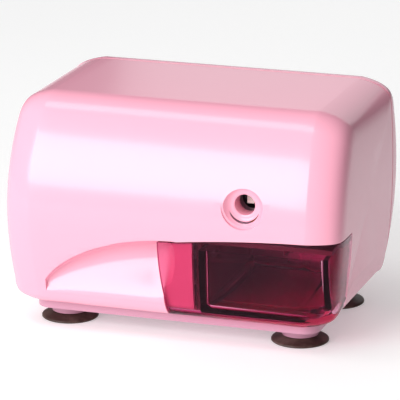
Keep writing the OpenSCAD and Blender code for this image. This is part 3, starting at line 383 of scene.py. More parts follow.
def rod_y(x, z, y0, y1, r, sides=48):
    return turned([(0, y0), (r, y0), (r, y1), (0, y1)], (x, 0, z), "Y", sides)


def rod_z(x, y, z0, z1, r, sides=48):
    return turned([(0, z0), (r, z0), (r, z1), (0, z1)], (x, y, 0), "Z", sides)


def baked(obj):
    """The object with its modifiers made part of its mesh"""
    bpy.context.view_layer.update()
    graph = bpy.context.evaluated_depsgraph_get()
    mesh = bpy.data.meshes.new_from_object(obj.evaluated_get(graph))
    obj.modifiers.clear()
    old, obj.data = obj.data, mesh
    bpy.data.meshes.remove(old)
    return obj


def combine(base, operation, *tools):
    """base united with, cut by or kept in common with each tool; the tools are used up"""
    for tool in tools:
        cut = base.modifiers.new("cut", "BOOLEAN")
        cut.object, cut.operation, cut.solver = tool, operation, "MANIFOLD"
    baked(base)
    for tool in tools:
        mesh = tool.data
        bpy.data.objects.remove(tool)
        bpy.data.meshes.remove(mesh)
    if not base.data.polygons:
        raise RuntimeError(f"{base.name}: nothing is left after {operation}")
    return base


def add(base, *tools):
    return combine(base, "UNION", *tools)


def cut(base, *tools):
    return combine(base, "DIFFERENCE", *tools)


def common(base, *tools):
    return combine(base, "INTERSECT", *tools)


def finish_piece(obj, name, material, body, replaces=(), angle=28, bevel=0.0):
    """Names a piece, brings it to metres, shades it and joins it to its body"""
    obj.name = obj.data.name = name
    obj.data.transform(Matrix.Scale(MM, 4))
    tidy = bmesh.new()
    tidy.from_mesh(obj.data)
    bmesh.ops.remove_doubles(tidy, verts=tidy.verts, dist=2e-7)
    bmesh.ops.dissolve_degenerate(tidy, dist=1e-7, edges=tidy.edges)
    tidy.to_mesh(obj.data)
    tidy.free()
    if bevel:
        roll = obj.modifiers.new("edge roll", "BEVEL")
        roll.width, roll.segments, roll.limit_method = bevel * MM, 3, "ANGLE"
        roll.angle_limit = math.radians(35)
        roll.harden_normals = False
        baked(obj)
    obj.data.materials.clear()
    obj.data.materials.append(material)
    obj.data.shade_smooth()
    obj.data.set_sharp_from_angle(angle=math.radians(angle))
    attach(obj, body)
    if replaces:
        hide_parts(*replaces)
    return obj


# ---- The casing's form ----

BODY_W, BODY_H, WALL = 148.0, 99.0, 2.5
Y_FRONT, Y_BACK, SEAM_Y = -50.0, 50.0, 36.3
SHELL_BOTTOM, BASE_BOTTOM = 11.3, 7.3
FRONT_MID, BACK_MID, FRONT_R, FRONT_LOW_R, BACK_R = 46.0, 62.0, 80.0, 150.0, 120.0
TOP_ROLL, LOW_ROLL, BACK_TOP_ROLL, BACK_LOW_ROLL = 16.0, 5.0, 7.0, 6.0
SIDE_REACH, SIDE_ROUND, SIDE_POWER, EDGE_BLEND = 23.0, 14.0, 7.0, 1.22
BACK_SHARE, LOW_SHARE, WIDEST_Z, BULGE_UP, BULGE_DOWN = 0.3, 0.35, 58.0, 900.0, 600.0
DRAWER_X, ARCH_X, SCOOP_LEN, SCOOP_FOOT = -4.0, 5.0, 61.0, 17.0
DRAWER_TOP, DRAWER_RISE, DRAWER_LEAN, SIDE_RETURN = 45.0, 4.2, 4.0, 23.0
PENCIL_X, PENCIL_Z, PENCIL_R = 33.2, 62.5, 4.35
BORE_Y, GUIDE_END, GUIDE_R = -45.48, -38.48, 6.95
HATCH = (-44.0, 9.5, -22.0, 36.0)
CASE_SCREWS = [(sx * 55.0, z) for sx in (-1, 1) for z in (26.3, 84.0)]
BASE_BOSSES = [(-50.0, 1.8), (-14.0, -27.0), (36.2, 30.9)]
BASE_SCREWS = BASE_BOSSES + [(-38.0, 28.0), (1.5, 28.0)]
FEET = [(sx * 51.5, 1.8 + sy * 27.5) for sx in (-1, 1) for sy in (-1, 1)]
MOTOR_X, MOTOR_Z = -16.27, 56.01
GLAND_X, GLAND_Z = -36.0, 24.0


def outline():
    """The side view as rows of y, z and the outward normal, counter-clockwise seen from +X"""
    tt = math.asin((BODY_H - TOP_ROLL - FRONT_MID) / (FRONT_R - TOP_ROLL))
    lt = math.asin((FRONT_MID - SHELL_BOTTOM - LOW_ROLL) / (FRONT_LOW_R - LOW_ROLL))
    bt = math.asin((BODY_H - BACK_TOP_ROLL - BACK_MID) / (BACK_R - BACK_TOP_ROLL))
    bl = math.asin((BACK_MID - SHELL_BOTTOM - BACK_LOW_ROLL) / (BACK_R - BACK_LOW_ROLL))
    pi, half = math.pi, math.pi / 2
    arcs = [
        ((Y_BACK - BACK_R + (BACK_R - BACK_LOW_ROLL) * math.cos(bl), SHELL_BOTTOM + BACK_LOW_ROLL),
         BACK_LOW_ROLL, -half, -bl, 8),
        ((Y_BACK - BACK_R, BACK_MID), BACK_R, -bl, bt, 22),
        ((Y_BACK - BACK_R + (BACK_R - BACK_TOP_ROLL) * math.cos(bt), BODY_H - BACK_TOP_ROLL),
         BACK_TOP_ROLL, bt, half, 8),
        ((Y_FRONT + FRONT_R - (FRONT_R - TOP_ROLL) * math.cos(tt), BODY_H - TOP_ROLL),
         TOP_ROLL, half, pi - tt, 12),
        ((Y_FRONT + FRONT_R, FRONT_MID), FRONT_R, pi - tt, pi, 26),
        ((Y_FRONT + FRONT_LOW_R, FRONT_MID), FRONT_LOW_R, pi, pi + lt, 18),
        ((Y_FRONT + FRONT_LOW_R - (FRONT_LOW_R - LOW_ROLL) * math.cos(lt), SHELL_BOTTOM + LOW_ROLL),
         LOW_ROLL, pi + lt, 3 * half, 8),
    ]
    rows = []
    for (cy, cz), r, start, end, n in arcs:
        for i in range(n + 1):
            a = start + (end - start) * i / n
            row = (cy + r * math.cos(a), cz + r * math.sin(a), math.cos(a), math.sin(a))
            if not rows or math.dist(rows[-1][:2], row[:2]) > 1e-4:
                rows.append(row)
    return np.array(rows)


OUTLINE = outline()
FORM_MID = (0.0, (SHELL_BOTTOM + BODY_H) / 2)


def side_x(d):
    share = (1 - (1 - d / SIDE_REACH) ** SIDE_POWER) ** (1 / EDGE_BLEND)
    return BODY_W / 2 - SIDE_ROUND * (1 - share)


def form(skin, steps=20, columns=24):
    """The pillow form of the casing, moved in by skin"""
    depths = [SIDE_REACH * (i / steps) ** 2.1 for i in range(steps + 1)]
    depths[0] = 0.0
    span = side_x(0.0) / columns
    rings = [(-1, d, None) for d in reversed(depths)]
    rings += [(0, 0.0, -side_x(0.0) + 2 * span * i) for i in range(1, columns)]
    rings += [(1, d, None) for d in depths]
    p = OUTLINE
    qy, qz = p[:, 0] - FORM_MID[0], p[:, 1] - FORM_MID[1]
    reach = qy * p[:, 2] + qz * p[:, 3]
    points = []
    for sign, d, x in rings:
        k = (d + skin) / reach
        y = p[:, 0] - k * qy + BACK_SHARE * d * np.maximum(0, p[:, 2])
        z = p[:, 1] - k * qz + LOW_SHARE * d * np.minimum(0, p[:, 3])
        bulge = (z - WIDEST_Z) ** 2 / np.where(z > WIDEST_Z, BULGE_UP, BULGE_DOWN)
        if sign:
            xs = sign * (side_x(d) - skin - bulge)
        else:
            xs = x * (side_x(0.0) - skin - bulge) / side_x(0.0)
        points.extend(zip(xs, y, z))
    n, last = len(p), len(rings) - 1
    points += [(-(BODY_W / 2 - skin), 0, WIDEST_Z), (BODY_W / 2 - skin, 0, WIDEST_Z)]
    faces = [(i * n + j, i * n + (j + 1) % n, (i + 1) * n + (j + 1) % n, (i + 1) * n + j)
             for i in range(last) for j in range(n)]
    faces += [(j, (last + 1) * n, (j + 1) % n) for j in range(n)]
    faces += [(last * n + j, last * n + (j + 1) % n, (last + 1) * n + 1) for j in range(n)]
    return solid("form", points, faces)


def face_y(z):
    r = FRONT_R if z >= FRONT_MID else FRONT_LOW_R
    return Y_FRONT + r - math.sqrt(r * r - (z - FRONT_MID) ** 2)


def back_y(z):
    return Y_BACK - BACK_R + math.sqrt(BACK_R ** 2 - (z - BACK_MID) ** 2)


def clamp(value):
    return min(1.0, max(0.0, value))


def cut_z(x):
    """Height of the arch over the scoop and of the drawer's top edge"""
    if x < ARCH_X:
        u = clamp((ARCH_X - x) / SCOOP_LEN)
        return SCOOP_FOOT + (DRAWER_TOP - SCOOP_FOOT) * (1 - u * u) ** 0.6
    v = clamp((x - ARCH_X) / (BODY_W / 2 - ARCH_X))
    return DRAWER_TOP + DRAWER_RISE * (2 * v - v * v)


def drawer_left(z):
    """The drawer's left edge, which leans to the right towards its foot"""
    return DRAWER_X + DRAWER_LEAN * clamp((DRAWER_TOP - z) / (DRAWER_TOP - SHELL_BOTTOM)) ** 1.7


def drawer_zone(more):
    """What the drawer's front takes out of the casing, grown by more"""
    left, right = DRAWER_X - more, BODY_W / 2 + 4
    n = 56
    across = [left + (right - left) * i / n for i in range(n + 1)]
    top = [(x, cut_z(x) + more) for x in across]
    foot = SHELL_BOTTOM - 5
    edge = [(drawer_left(foot + (top[0][1] - foot) * i / 24) - more, foot + (top[0][1] - foot) * i / 24)
            for i in range(24)]
    shape = edge + top + [(right, foot)]
    return prism_y(shape, Y_FRONT - 10, Y_FRONT + SIDE_RETURN + more)


def scoop_form(skin, depth, lip):
    """The hollow under the arch, moved out by skin, with a rolled upper lip"""
    rise, fall = 0.55, 1.5
    peak = (rise / (rise + fall)) ** rise * (fall / (rise + fall)) ** fall
    left, right = ARCH_X - SCOOP_LEN + 2 - skin * 0.4, DRAWER_X + 8 + skin
    columns, rows = 56, 40
    sections = []
    for i in range(columns + 1):
        x = left + (right - left) * i / columns
        u, v = clamp((ARCH_X - x) / SCOOP_LEN), clamp((4 - x) / 14)
        share = (1 - u) ** 0.55 * (1 - 0.82 * (1 - v) ** 2.4)
        top, foot = cut_z(x) + 0.9 * skin, SCOOP_FOOT - skin
        deep = depth * share + 1.25 * skin
        over = min(lip * 1.5, 0.3 * (top - foot))
        row = [(x, Y_FRONT - 6, foot), (x, Y_FRONT - 6, top + over)]
        for k in range(rows + 1):
            s = (k / rows) ** 1.7
            z = top + over - (top + over - foot) * s
            down = clamp((top - z) / (top - foot))
            if z > top:
                raw = -(z - top) * 1.6
            else:
                raw = deep * down ** rise * (1 - down) ** fall / peak
            soft = raw if skin else max(raw, 0) + max(lip - abs(raw), 0) ** 2 / (4 * lip) * (1 - down) ** 8
            row.append((x, face_y(z) + soft - 0.06, z))
        sections.append(row)
    n = len(sections[0])
    points = [p for row in sections for p in row]
    faces = [(i * n + j, i * n + (j + 1) % n, (i + 1) * n + (j + 1) % n, (i + 1) * n + j)
             for i in range(columns) for j in range(n)]
    faces += [tuple(range(n)), tuple(columns * n + j for j in range(n))]
    return solid("scoop", points, faces)


def rebate(z0, z1):
    """The block behind the drawer's left end, where the casing steps back"""
    return block(-7, 11, Y_FRONT - 1, Y_FRONT + 21, z0, z1)


def seam_groove(depth):
    """A shallow ring cut into both halves of the casing where they meet"""
    band = block(-90, 90, SEAM_Y - 0.45, SEAM_Y + 0.45, -5, 120)
    return cut(band, form(depth))


def slot_row_tool(count):
    """The rear cover's vents, as slots repeated by nodes"""
    tree = bpy.data.node_groups.new("vent slots", "GeometryNodeTree")
    face = tree.interface
    for name, kind, default in (("Count", "NodeSocketInt", 6), ("Spacing", "NodeSocketFloat", 7.0),
                                ("Width", "NodeSocketFloat", 2.4), ("Height", "NodeSocketFloat", 30.0),
                                ("Depth", "NodeSocketFloat", 14.0)):
        face.new_socket(name, in_out="INPUT", socket_type=kind).default_value = default
    face.new_socket("Material", in_out="INPUT", socket_type="NodeSocketMaterial")
    face.new_socket("Slots", in_out="OUTPUT", socket_type="NodeSocketGeometry")
    given, result = tree.nodes.new("NodeGroupInput"), tree.nodes.new("NodeGroupOutput")
    line = tree.nodes.new("GeometryNodeMeshLine")
    step = tree.nodes.new("ShaderNodeCombineXYZ")
    size = tree.nodes.new("ShaderNodeCombineXYZ")
    cube = tree.nodes.new("GeometryNodeMeshCube")
    copies = tree.nodes.new("GeometryNodeInstanceOnPoints")
    real = tree.nodes.new("GeometryNodeRealizeInstances")
    paint = tree.nodes.new("GeometryNodeSetMaterial")
    link = tree.links.new
    link(given.outputs["Count"], line.inputs["Count"])
    link(given.outputs["Spacing"], step.inputs["X"])
    link(step.outputs[0], line.inputs["Offset"])
    for name, axis in (("Width", "X"), ("Depth", "Y"), ("Height", "Z")):
        link(given.outputs[name], size.inputs[axis])
    link(size.outputs[0], cube.inputs["Size"])
    link(line.outputs[0], copies.inputs["Points"])
    link(cube.outputs["Mesh"], copies.inputs["Instance"])
    link(copies.outputs[0], real.inputs[0])
    link(real.outputs[0], paint.inputs["Geometry"])
    link(given.outputs["Material"], paint.inputs["Material"])
    link(paint.outputs[0], result.inputs[0])
    obj = solid("vents", [(0, 0, 0), (1, 0, 0), (0, 1, 0)], [(0, 1, 2)])
    made = obj.modifiers.new("slots", "NODES")
    made.node_group = tree
    names = {item.name: item.identifier for item in face.items_tree if item.in_out == "INPUT"}
    made[names["Count"]] = count
    baked(obj)
    middle = (count - 1) * 7.0 / 2
    for v in obj.data.vertices:
        v.co = (v.co.x - middle + MOTOR_X + 0.7, v.co.y + SEAM_Y + 4 + 7, v.co.z + MOTOR_Z + 1)
    return obj


# ---- Operators ----

def settings():
    scene = bpy.context.scene
    return scene.sharpener_casing, scene.sharpener_drawer, scene.sharpener_fixings


class MakeCasingFront(bpy.types.Operator):
    """Make the front and top of the casing, with its scoop and pencil mouth"""
    bl_idname = "sharpener.casing_front"
    bl_label = "Casing Front"

    def execute(self, context):
        casing, drawer, _ = settings()
        wall, plate, gap = casing.wall / MM, drawer.plate / MM, drawer.gap / MM
        depth, lip = casing.scoop_depth / MM, casing.scoop_lip / MM
        step = plate + gap
        shell = cut(form(0), drawer_zone(0.05))
        shell = add(shell, common(form(step), rebate(SHELL_BOTTOM + 1, DRAWER_TOP + 2)),
                    *[rod_y(x, z, 30.9, SEAM_Y - 0.2, 3.4) for x, z in CASE_SCREWS])
        room = cut(form(wall), scoop_form(2, depth, lip),
                   cut(rebate(SHELL_BOTTOM - 1, DRAWER_TOP + 3), form(step + 2)),
                   *[rod_y(x, z, 30.9, SEAM_Y + 1, 3.4) for x, z in CASE_SCREWS],
                   *[block(min(x, x + math.copysign(20, x)), max(x, x + math.copysign(20, x)), 30.9,
                           SEAM_Y - 0.2, z - 1, z + 1) for x, z in CASE_SCREWS],
                   *[rod_z(x, y, SHELL_BOTTOM, SHELL_BOTTOM + 9, 3.4) for x, y in BASE_BOSSES],
                   rod_y(PENCIL_X, PENCIL_Z, Y_FRONT, GUIDE_END, GUIDE_R))
        r, m = PENCIL_R, casing.mouth / MM
        dish = [(0, Y_FRONT - 3), (m + 1.5, Y_FRONT - 3), (m + 0.9, face_y(PENCIL_Z) - 0.02)]
        for i in range(9):
            t = i / 8
            dish.append((r + 0.5 + (m - r - 0.5) * (1 - t) ** 0.8 * (1 - 0.12 * t),
                         face_y(PENCIL_Z) + 0.12 + 2.6 * (1 - (1 - t) ** 2)))
        dish += [(r + 0.1, BORE_Y + 0.15), (r, BORE_Y + 0.6), (r, GUIDE_END + 5), (0, GUIDE_END + 5)]
        shell = cut(shell, room, scoop_form(0, depth, lip), block(-90, 90, SEAM_Y, 60, -1, 120),
                    block(*HATCH, SHELL_BOTTOM - 1, SHELL_BOTTOM + wall + 1),
                    turned(dish, (PENCIL_X, 0, PENCIL_Z), "Y", 72), seam_groove(casing.groove / MM),
                    *[rod_y(x, z, 31.4, SEAM_Y + 1, 1.2, 20) for x, z in CASE_SCREWS],
                    *[rod_z(x, y, SHELL_BOTTOM - 1, SHELL_BOTTOM + 8, 1.2, 20) for x, y in BASE_BOSSES])
        finish_piece(shell, "casing_front", PAINTS["body_pink"], "housing", ["front_shell"])
        return {"FINISHED"}


class MakeRearCover(bpy.types.Operator):
    """Make the rear cover with its vents, screw recesses and tongue"""
    bl_idname = "sharpener.rear_cover"
    bl_label = "Rear Cover"

    def execute(self, context):
        casing, _, fixings = settings()
        wall = casing.wall / MM
        low = SHELL_BOTTOM + wall + 2
        seat = back_y(GLAND_Z) + 0.8
        room = cut(form(wall), *[rod_y(x, z, SEAM_Y, Y_BACK, 4.8) for x, z in CASE_SCREWS],
                   rod_y(GLAND_X, GLAND_Z, seat - 5, Y_BACK, 7.6),
                   cut(block(-90, 90, SEAM_Y, SEAM_Y + 1.5, low, 120), form(wall + 1.5)))
        cover = cut(form(0), room, block(-90, 90, Y_FRONT - 10, SEAM_Y, -1, 120),
                    block(*HATCH, SHELL_BOTTOM - 1, SHELL_BOTTOM + wall + 1),
                    *[rod_y(x, z, SEAM_Y - 1, Y_BACK + 5, 1.6, 24) for x, z in CASE_SCREWS],
                    *[turned([(0, SEAM_Y + 3), (3.2, SEAM_Y + 3), (3.2, back_y(z) - 0.7),
                              (4.2, back_y(z) + 1.5), (4.2, Y_BACK + 5), (0, Y_BACK + 5)], (x, 0, z), "Y", 40)
                      for x, z in CASE_SCREWS],
                    slot_row_tool(fixings.vents), seam_groove(casing.groove / MM),
                    rod_y(GLAND_X, GLAND_Z, seat - 0.05, Y_BACK + 5, 7.6))
        tongue = cut(common(form(wall + 0.2), block(-90, 90, SEAM_Y - 2.2, SEAM_Y + 0.75, low, 120)),
                     form(wall + 1.5),
                     *[rod_y(x, z, SEAM_Y - 3, SEAM_Y, 3.8) for x, z in CASE_SCREWS])
        cover = cut(add(cover, tongue), rod_y(GLAND_X, GLAND_Z, seat - 11, Y_BACK + 5, 5.0))
        finish_piece(cover, "casing_rear", PAINTS["body_pink"], "housing", ["rear_cover"])
        return {"FINISHED"}


class MakeDrawer(bpy.types.Operator):
    """Make the see-through drawer: front plate, bin and switch tab in one moulding"""
    bl_idname = "sharpener.drawer"
    bl_label = "Shavings Drawer"

    def execute(self, context):
        casing, drawer, _ = settings()
        wall, plate, gap, t = casing.wall / MM, drawer.plate / MM, drawer.gap / MM, drawer.bin_wall / MM
        left, right, back, low, top = 14.0, BODY_W / 2 - 6, Y_FRONT + 72, 14.2, 42.0
        front = common(cut(form(0), form(plate)), drawer_zone(-gap),
                       block(-150, 150, -150, 150, SHELL_BOTTOM + gap, 150))
        outer = add(common(form(wall + gap), block(left, right, Y_FRONT - 5, back, low, top)),
                    common(form(plate - 0.2), block(left, right, Y_FRONT - 5, Y_FRONT + 16, low, top)))
        inner = add(common(form(wall + gap + t), block(0, 80, Y_FRONT - 5, back, 5, 99)),
                    common(form(plate), block(0, 80, Y_FRONT - 5, Y_FRONT + 16, 5, 99)))
        inner = common(inner, rounded_block(left + t, right - t, Y_FRONT + plate, back - t, low + t, 60,
                                            3.4, lambda z: face_y(z) - Y_FRONT))
        shell = add(cut(outer, inner), front, block(45, 55, back - 0.5, back + 0.6, 21.3, 29.3))
        finish_piece(shell, "drawer_moulding", PAINTS["smoked_pink"], "drawer",
                     ["shavings_drawer"])
        shell.data.materials.append(PAINTS["drawer_edge"])
        for face in shell.data.polygons:
            n, c = face.normal, face.center / MM
            left_end = n.x < -0.8 and c.x < 3 and c.y < Y_FRONT + 9
            foot = n.z < -0.85 and c.z < SHELL_BOTTOM + gap + 0.2
            if left_end or foot:
                face.material_index = 1
        return {"FINISHED"}


def rounded_box(x0, x1, y0, y1, r, n=8):
    corners = [(x1 - r, y1 - r, 0), (x0 + r, y1 - r, 1), (x0 + r, y0 + r, 2), (x1 - r, y0 + r, 3)]
    return [(cx + r * math.cos(math.pi / 2 * (q + i / n)), cy + r * math.sin(math.pi / 2 * (q + i / n)))
            for cx, cy, q in corners for i in range(n + 1)]


class MakeBase(bpy.types.Operator):
    """Make the base tray with its foot bosses and air slots"""
    bl_idname = "sharpener.base"
    bl_label = "Base Tray"

    def execute(self, context):
        tray = prism_z(rounded_box(-62.5, 62.5, -40, 39, 7), BASE_BOTTOM, SHELL_BOTTOM)
        tray = add(tray, *[rod_z(x, y, 3, BASE_BOTTOM + 0.5, 7.7, 56) for x, y in FEET])
        tray = cut(tray, *[rod_z(x, y, 2, 6.8, 3.5, 32) for x, y in FEET],
                   *[block(MOTOR_X - 13 + 6 * i, MOTOR_X - 10.8 + 6 * i, -12, 12, 0, 20) for i in range(5)],
                   *[rod_z(x, y, 0, 30, 1.5, 20) for x, y in BASE_SCREWS],
                   *[rod_z(x, y, 0, BASE_BOTTOM + 1.8, 3.1, 32) for x, y in BASE_SCREWS])
        finish_piece(tray, "base_tray", PAINTS["base_pink"], "housing", ["base_plate"],
                     angle=40, bevel=0.6)
        return {"FINISHED"}


def screw_tree():
    """Nodes that set a cross-head screw on every point, its head along +Z turned by the given rotation"""
    tree = bpy.data.node_groups.new("cross-head screws", "GeometryNodeTree")
    face = tree.interface
    face.new_socket("Points", in_out="INPUT", socket_type="NodeSocketGeometry")
    for name, default in (("Head Radius", 0.0027), ("Head Height", 0.0016), ("Shank Radius", 0.0012),
                          ("Length", 0.007)):
        face.new_socket(name, in_out="INPUT", socket_type="NodeSocketFloat").default_value = default
    face.new_socket("Turn", in_out="INPUT", socket_type="NodeSocketVector")
    face.new_socket("Material", in_out="INPUT", socket_type="NodeSocketMaterial")
    face.new_socket("Screws", in_out="OUTPUT", socket_type="NodeSocketGeometry")
    given, result = tree.nodes.new("NodeGroupInput"), tree.nodes.new("NodeGroupOutput")

    def make(kind, values=None, **settings_of):
        node = tree.nodes.new(kind)
        for key, value in settings_of.items():
            setattr(node, key, value)
        for key, value in (values or {}).items():
            if isinstance(value, bpy.types.NodeSocket):
                tree.links.new(value, node.inputs[key])
            else:
                node.inputs[key].default_value = value
        return node

    def sum_of(operation, a, b):
        return make("ShaderNodeMath", {0: a, 1: b}, operation=operation).outputs[0]

    def up(height):
        return make("ShaderNodeCombineXYZ", {"Z": height}).outputs[0]

    radius, height = given.outputs["Head Radius"], given.outputs["Head Height"]
    low = make("GeometryNodeMeshCylinder", {"Vertices": 40, "Radius": radius,
                                            "Depth": sum_of("MULTIPLY", height, 0.6)})
    low = make("GeometryNodeTransform", {"Geometry": low.outputs["Mesh"],
                                         "Translation": up(sum_of("MULTIPLY", height, 0.3))})
    dome = make("GeometryNodeMeshCone", {"Vertices": 40, "Radius Bottom": radius,
                                         "Radius Top": sum_of("MULTIPLY", radius, 0.68),
                                         "Depth": sum_of("MULTIPLY", height, 0.4)})
    dome = make("GeometryNodeTransform", {"Geometry": dome.outputs["Mesh"],
                                          "Translation": up(sum_of("MULTIPLY", height, 0.6))})
    shank = make("GeometryNodeMeshCylinder", {"Vertices": 24, "Radius": given.outputs["Shank Radius"],
                                              "Depth": given.outputs["Length"]})
    down = up(sum_of("MULTIPLY", given.outputs["Length"], -0.4999))
    shank = make("GeometryNodeTransform", {"Geometry": shank.outputs["Mesh"], "Translation": down})
    whole = make("GeometryNodeMeshBoolean", operation="UNION")
    for part in (low, dome, shank):
        tree.links.new(part.outputs[0], whole.inputs["Mesh 2"])
    long, short = sum_of("MULTIPLY", radius, 1.15), sum_of("MULTIPLY", radius, 0.24)
    slots = []
    for first, second in ((long, short), (short, long)):
        size = make("ShaderNodeCombineXYZ", {"X": first, "Y": second, "Z": height}).outputs[0]
        cube = make("GeometryNodeMeshCube", {"Size": size})
        slots.append(make("GeometryNodeTransform", {"Geometry": cube.outputs["Mesh"],
                                                    "Translation": up(height)}))
    slotted = make("GeometryNodeMeshBoolean", operation="DIFFERENCE")
    tree.links.new(whole.outputs[0], slotted.inputs["Mesh 1"])
    for slot in slots:
        tree.links.new(slot.outputs[0], slotted.inputs["Mesh 2"])
    copies = make("GeometryNodeInstanceOnPoints", {"Points": given.outputs["Points"],
                                                   "Instance": slotted.outputs[0]})
    turn = make("FunctionNodeEulerToRotation", {0: given.outputs["Turn"]})
    tree.links.new(turn.outputs[0], copies.inputs["Rotation"])
    real = make("GeometryNodeRealizeInstances", {0: copies.outputs[0]})
    paint = make("GeometryNodeSetMaterial", {"Geometry": real.outputs[0],
                                             "Material": given.outputs["Material"]})
    tree.links.new(paint.outputs[0], result.inputs[0])
    return tree


def place_screws(name, tree, points, turn, length, node):
    fixings = settings()[2]
    mesh = bpy.data.meshes.new(name)
    mesh.from_pydata([(x * MM, y * MM, z * MM) for x, y, z in points], [], [])
    obj = bpy.data.objects.new(name, mesh)
    bpy.context.scene.collection.objects.link(obj)
    made = obj.modifiers.new("screws", "NODES")
    made.node_group = tree
    names = {item.name: item.identifier for item in tree.interface.items_tree if item.in_out == "INPUT"}
    made[names["Head Radius"]] = fixings.head
    made[names["Head Height"]] = fixings.head_height
    made[names["Shank Radius"]] = fixings.shank
    made[names["Length"]] = length * MM
    made[names["Turn"]] = turn
    made[names["Material"]] = PAINTS["plated_steel"]
    baked(obj)
    obj.data.shade_smooth()
    obj.data.set_sharp_from_angle(angle=math.radians(30))
    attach(obj, "housing")
    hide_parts(node)


class MakeScrews(bpy.types.Operator):
    """Make the screws of the base tray and the rear cover by nodes"""
    bl_idname = "sharpener.screws"
    bl_label = "Screws"

    def execute(self, context):
        tree = screw_tree()
        below = [(x, y, BASE_BOTTOM + 1.8) for x, y in BASE_SCREWS]
        place_screws("tray_screws", tree, below, (math.pi, 0, 0), 7, "base_screws")
        behind = [(x, SEAM_Y + 3, z) for x, z in CASE_SCREWS]
        place_screws("cover_screws", tree, behind, (-math.pi / 2, 0, 0), 10.5, "rear_cover_screws")
        return {"FINISHED"}


class MakeSuckers(bpy.types.Operator):
    """Make the four rubber suckers"""
    bl_idname = "sharpener.suckers"
    bl_label = "Suckers"

    def execute(self, context):
        rim = settings()[2].cup / MM
        cup_edge = [(rim - 1.7, 0.12), (rim - 1.3, 0), (rim - 0.3, 0), (rim, 0.25), (rim, 0.7),
                    (rim - 0.2, 1.05), (rim - 0.7, 1.3), (rim - 2, 1.75)]
        knob = [(8.6, 2.3), (7.6, 2.75), (7.1, 3), (3.4, 3), (3.4, 4.2), (2.9, 4.6), (2.9, 5.8), (2.3, 6.2),
                (0, 6.4)]
        profile = [(0, 1.5), (3, 1.5), (7.5, 1.1), *cup_edge, *knob]
        for name, (x, y) in zip(("front_left", "rear_left", "front_right", "rear_right"), FEET):
            cup = turned(profile, (x, y, 0), "Z", 72)
            finish_piece(cup, f"suction_cup_{name}", PAINTS["sucker_rubber"], "housing",
                         [f"sucker_{name}"], angle=50)
        return {"FINISHED"}


class MakeGland(bpy.types.Operator):
    """Make the rounded gland through which the cord would enter"""
    bl_idname = "sharpener.gland"
    bl_label = "Cord Gland"

    def execute(self, context):
        y = back_y(GLAND_Z)
        profile = [(3.3, y - 6.5), (3.3, y + 1.9), (3.7, y + 2.35), (4.3, y + 2.5), (5.6, y + 2.3),
                   (6.3, y + 1.7), (6.5, y + 0.8), (5, y + 0.8), (5, y - 5), (6.1, y - 5), (6.1, y - 6.2),
                   (5.8, y - 6.5)]
        ring = turned(profile, (GLAND_X, 0, GLAND_Z), "Y", 56)
        finish_piece(ring, "cord_gland_ring", PAINTS["black_plastic"], "housing",
                     ["cord_gland"])
        return {"FINISHED"}


class FinishInnerParts(bpy.types.Operator):
    """Give every carried-over part of the mechanism its own finish"""
    bl_idname = "sharpener.inner_parts"
    bl_label = "Inner Parts"

    def execute(self, context):
        for material in frame["record"]["materials"]:
            if material["slot"] not in PAINTS:
                raise RuntimeError(f"no finish for {material['slot']}")
        slots = node_slots()
        for name, obj in NODES.items():
            obj.data.materials.clear()
            obj.data.materials.append(PAINTS[slots[name]])
        return {"FINISHED"}


class MakeStage(bpy.types.Operator):
    """Make the pale floor, the soft lights and the camera"""
    bl_idname = "sharpener.stage"
    bl_label = "Stage"

    def execute(self, context):
        scene = context.scene
        scene.view_settings.view_transform = "Standard"
        # light returned by the floor falls off beyond the casing's right side
        floor = bpy.data.objects.new("floor", bpy.data.meshes.new("floor"))
        floor.data.from_pydata([(-4, -3, 0), (4, -3, 0), (4, 6, 0), (-4, 6, 0)], [], [(0, 1, 2, 3)])
        scene.collection.objects.link(floor)
        f = Finish("pale floor")
        cloud = f.noise(3, detail=2)
        side = f.node("ShaderNodeSeparateXYZ", values={0: f.node("ShaderNodeTexCoord", out=3)})
        fall = f.ramp((side - FALL_START) / FALL_WIDTH, [(0.0, 0.0), (1.0, 1.0)])
        f.shader.inputs["Emission Strength"].default_value = 0.3
        paper = f.blend(cloud, (0.78, 0.78, 0.78), (0.82, 0.82, 0.82))
        floor.data.materials.append(f.set(base_color=f.blend(fall, paper, (0.5, 0.49, 0.49)), roughness=0.6,
                                          emission_color=f.blend(fall, (1, 1, 1), (0.1, 0.1, 0.1))))
        world = bpy.data.worlds.new("studio")
        scene.world = world
        world.use_nodes = True
        sky = world.node_tree
        toward = sky.nodes.new("ShaderNodeVectorMath")
        toward.operation = "DOT_PRODUCT"
        toward.inputs[1].default_value = SKY_BRIGHTEST
        sky.links.new(sky.nodes.new("ShaderNodeTexCoord").outputs["Generated"], toward.inputs[0])
        glow = (Wire(sky, toward.outputs["Value"]) + 0.22) * 0.8
        lit = sky.nodes.new("ShaderNodeClamp")
        lit.inputs["Min"].default_value, lit.inputs["Max"].default_value = 0.1, 1.0
        plug(sky, lit.inputs["Value"], glow)
        background = sky.nodes["Background"]
        background.inputs["Color"].default_value = (1, 1, 1, 1)
        sky.links.new(lit.outputs[0], background.inputs["Strength"])
        for name, at, size, power in LAMPS:
            lamp = bpy.data.lights.new(name, "AREA")
            lamp.shape, lamp.size, lamp.size_y, lamp.energy = "RECTANGLE", *size, power
            obj = bpy.data.objects.new(name, lamp)
            obj.location = at
            obj.rotation_euler = (Vector((0, 0, 0.05)) - Vector(at)).to_track_quat("-Z", "Y").to_euler()
            scene.collection.objects.link(obj)
        eye = bpy.data.cameras.new("camera")
        eye.lens, eye.sensor_width, eye.clip_end = 270, 36, 20  # millimetres, millimetres, metres
        camera = bpy.data.objects.new("camera", eye)
        camera.location = (0.39006, -1.17053, 0.40547)
        camera.rotation_euler = (math.radians(90 - 16.11), 0, math.radians(18.49))
        scene.collection.objects.link(camera)
        scene.camera = camera
        return {"FINISHED"}


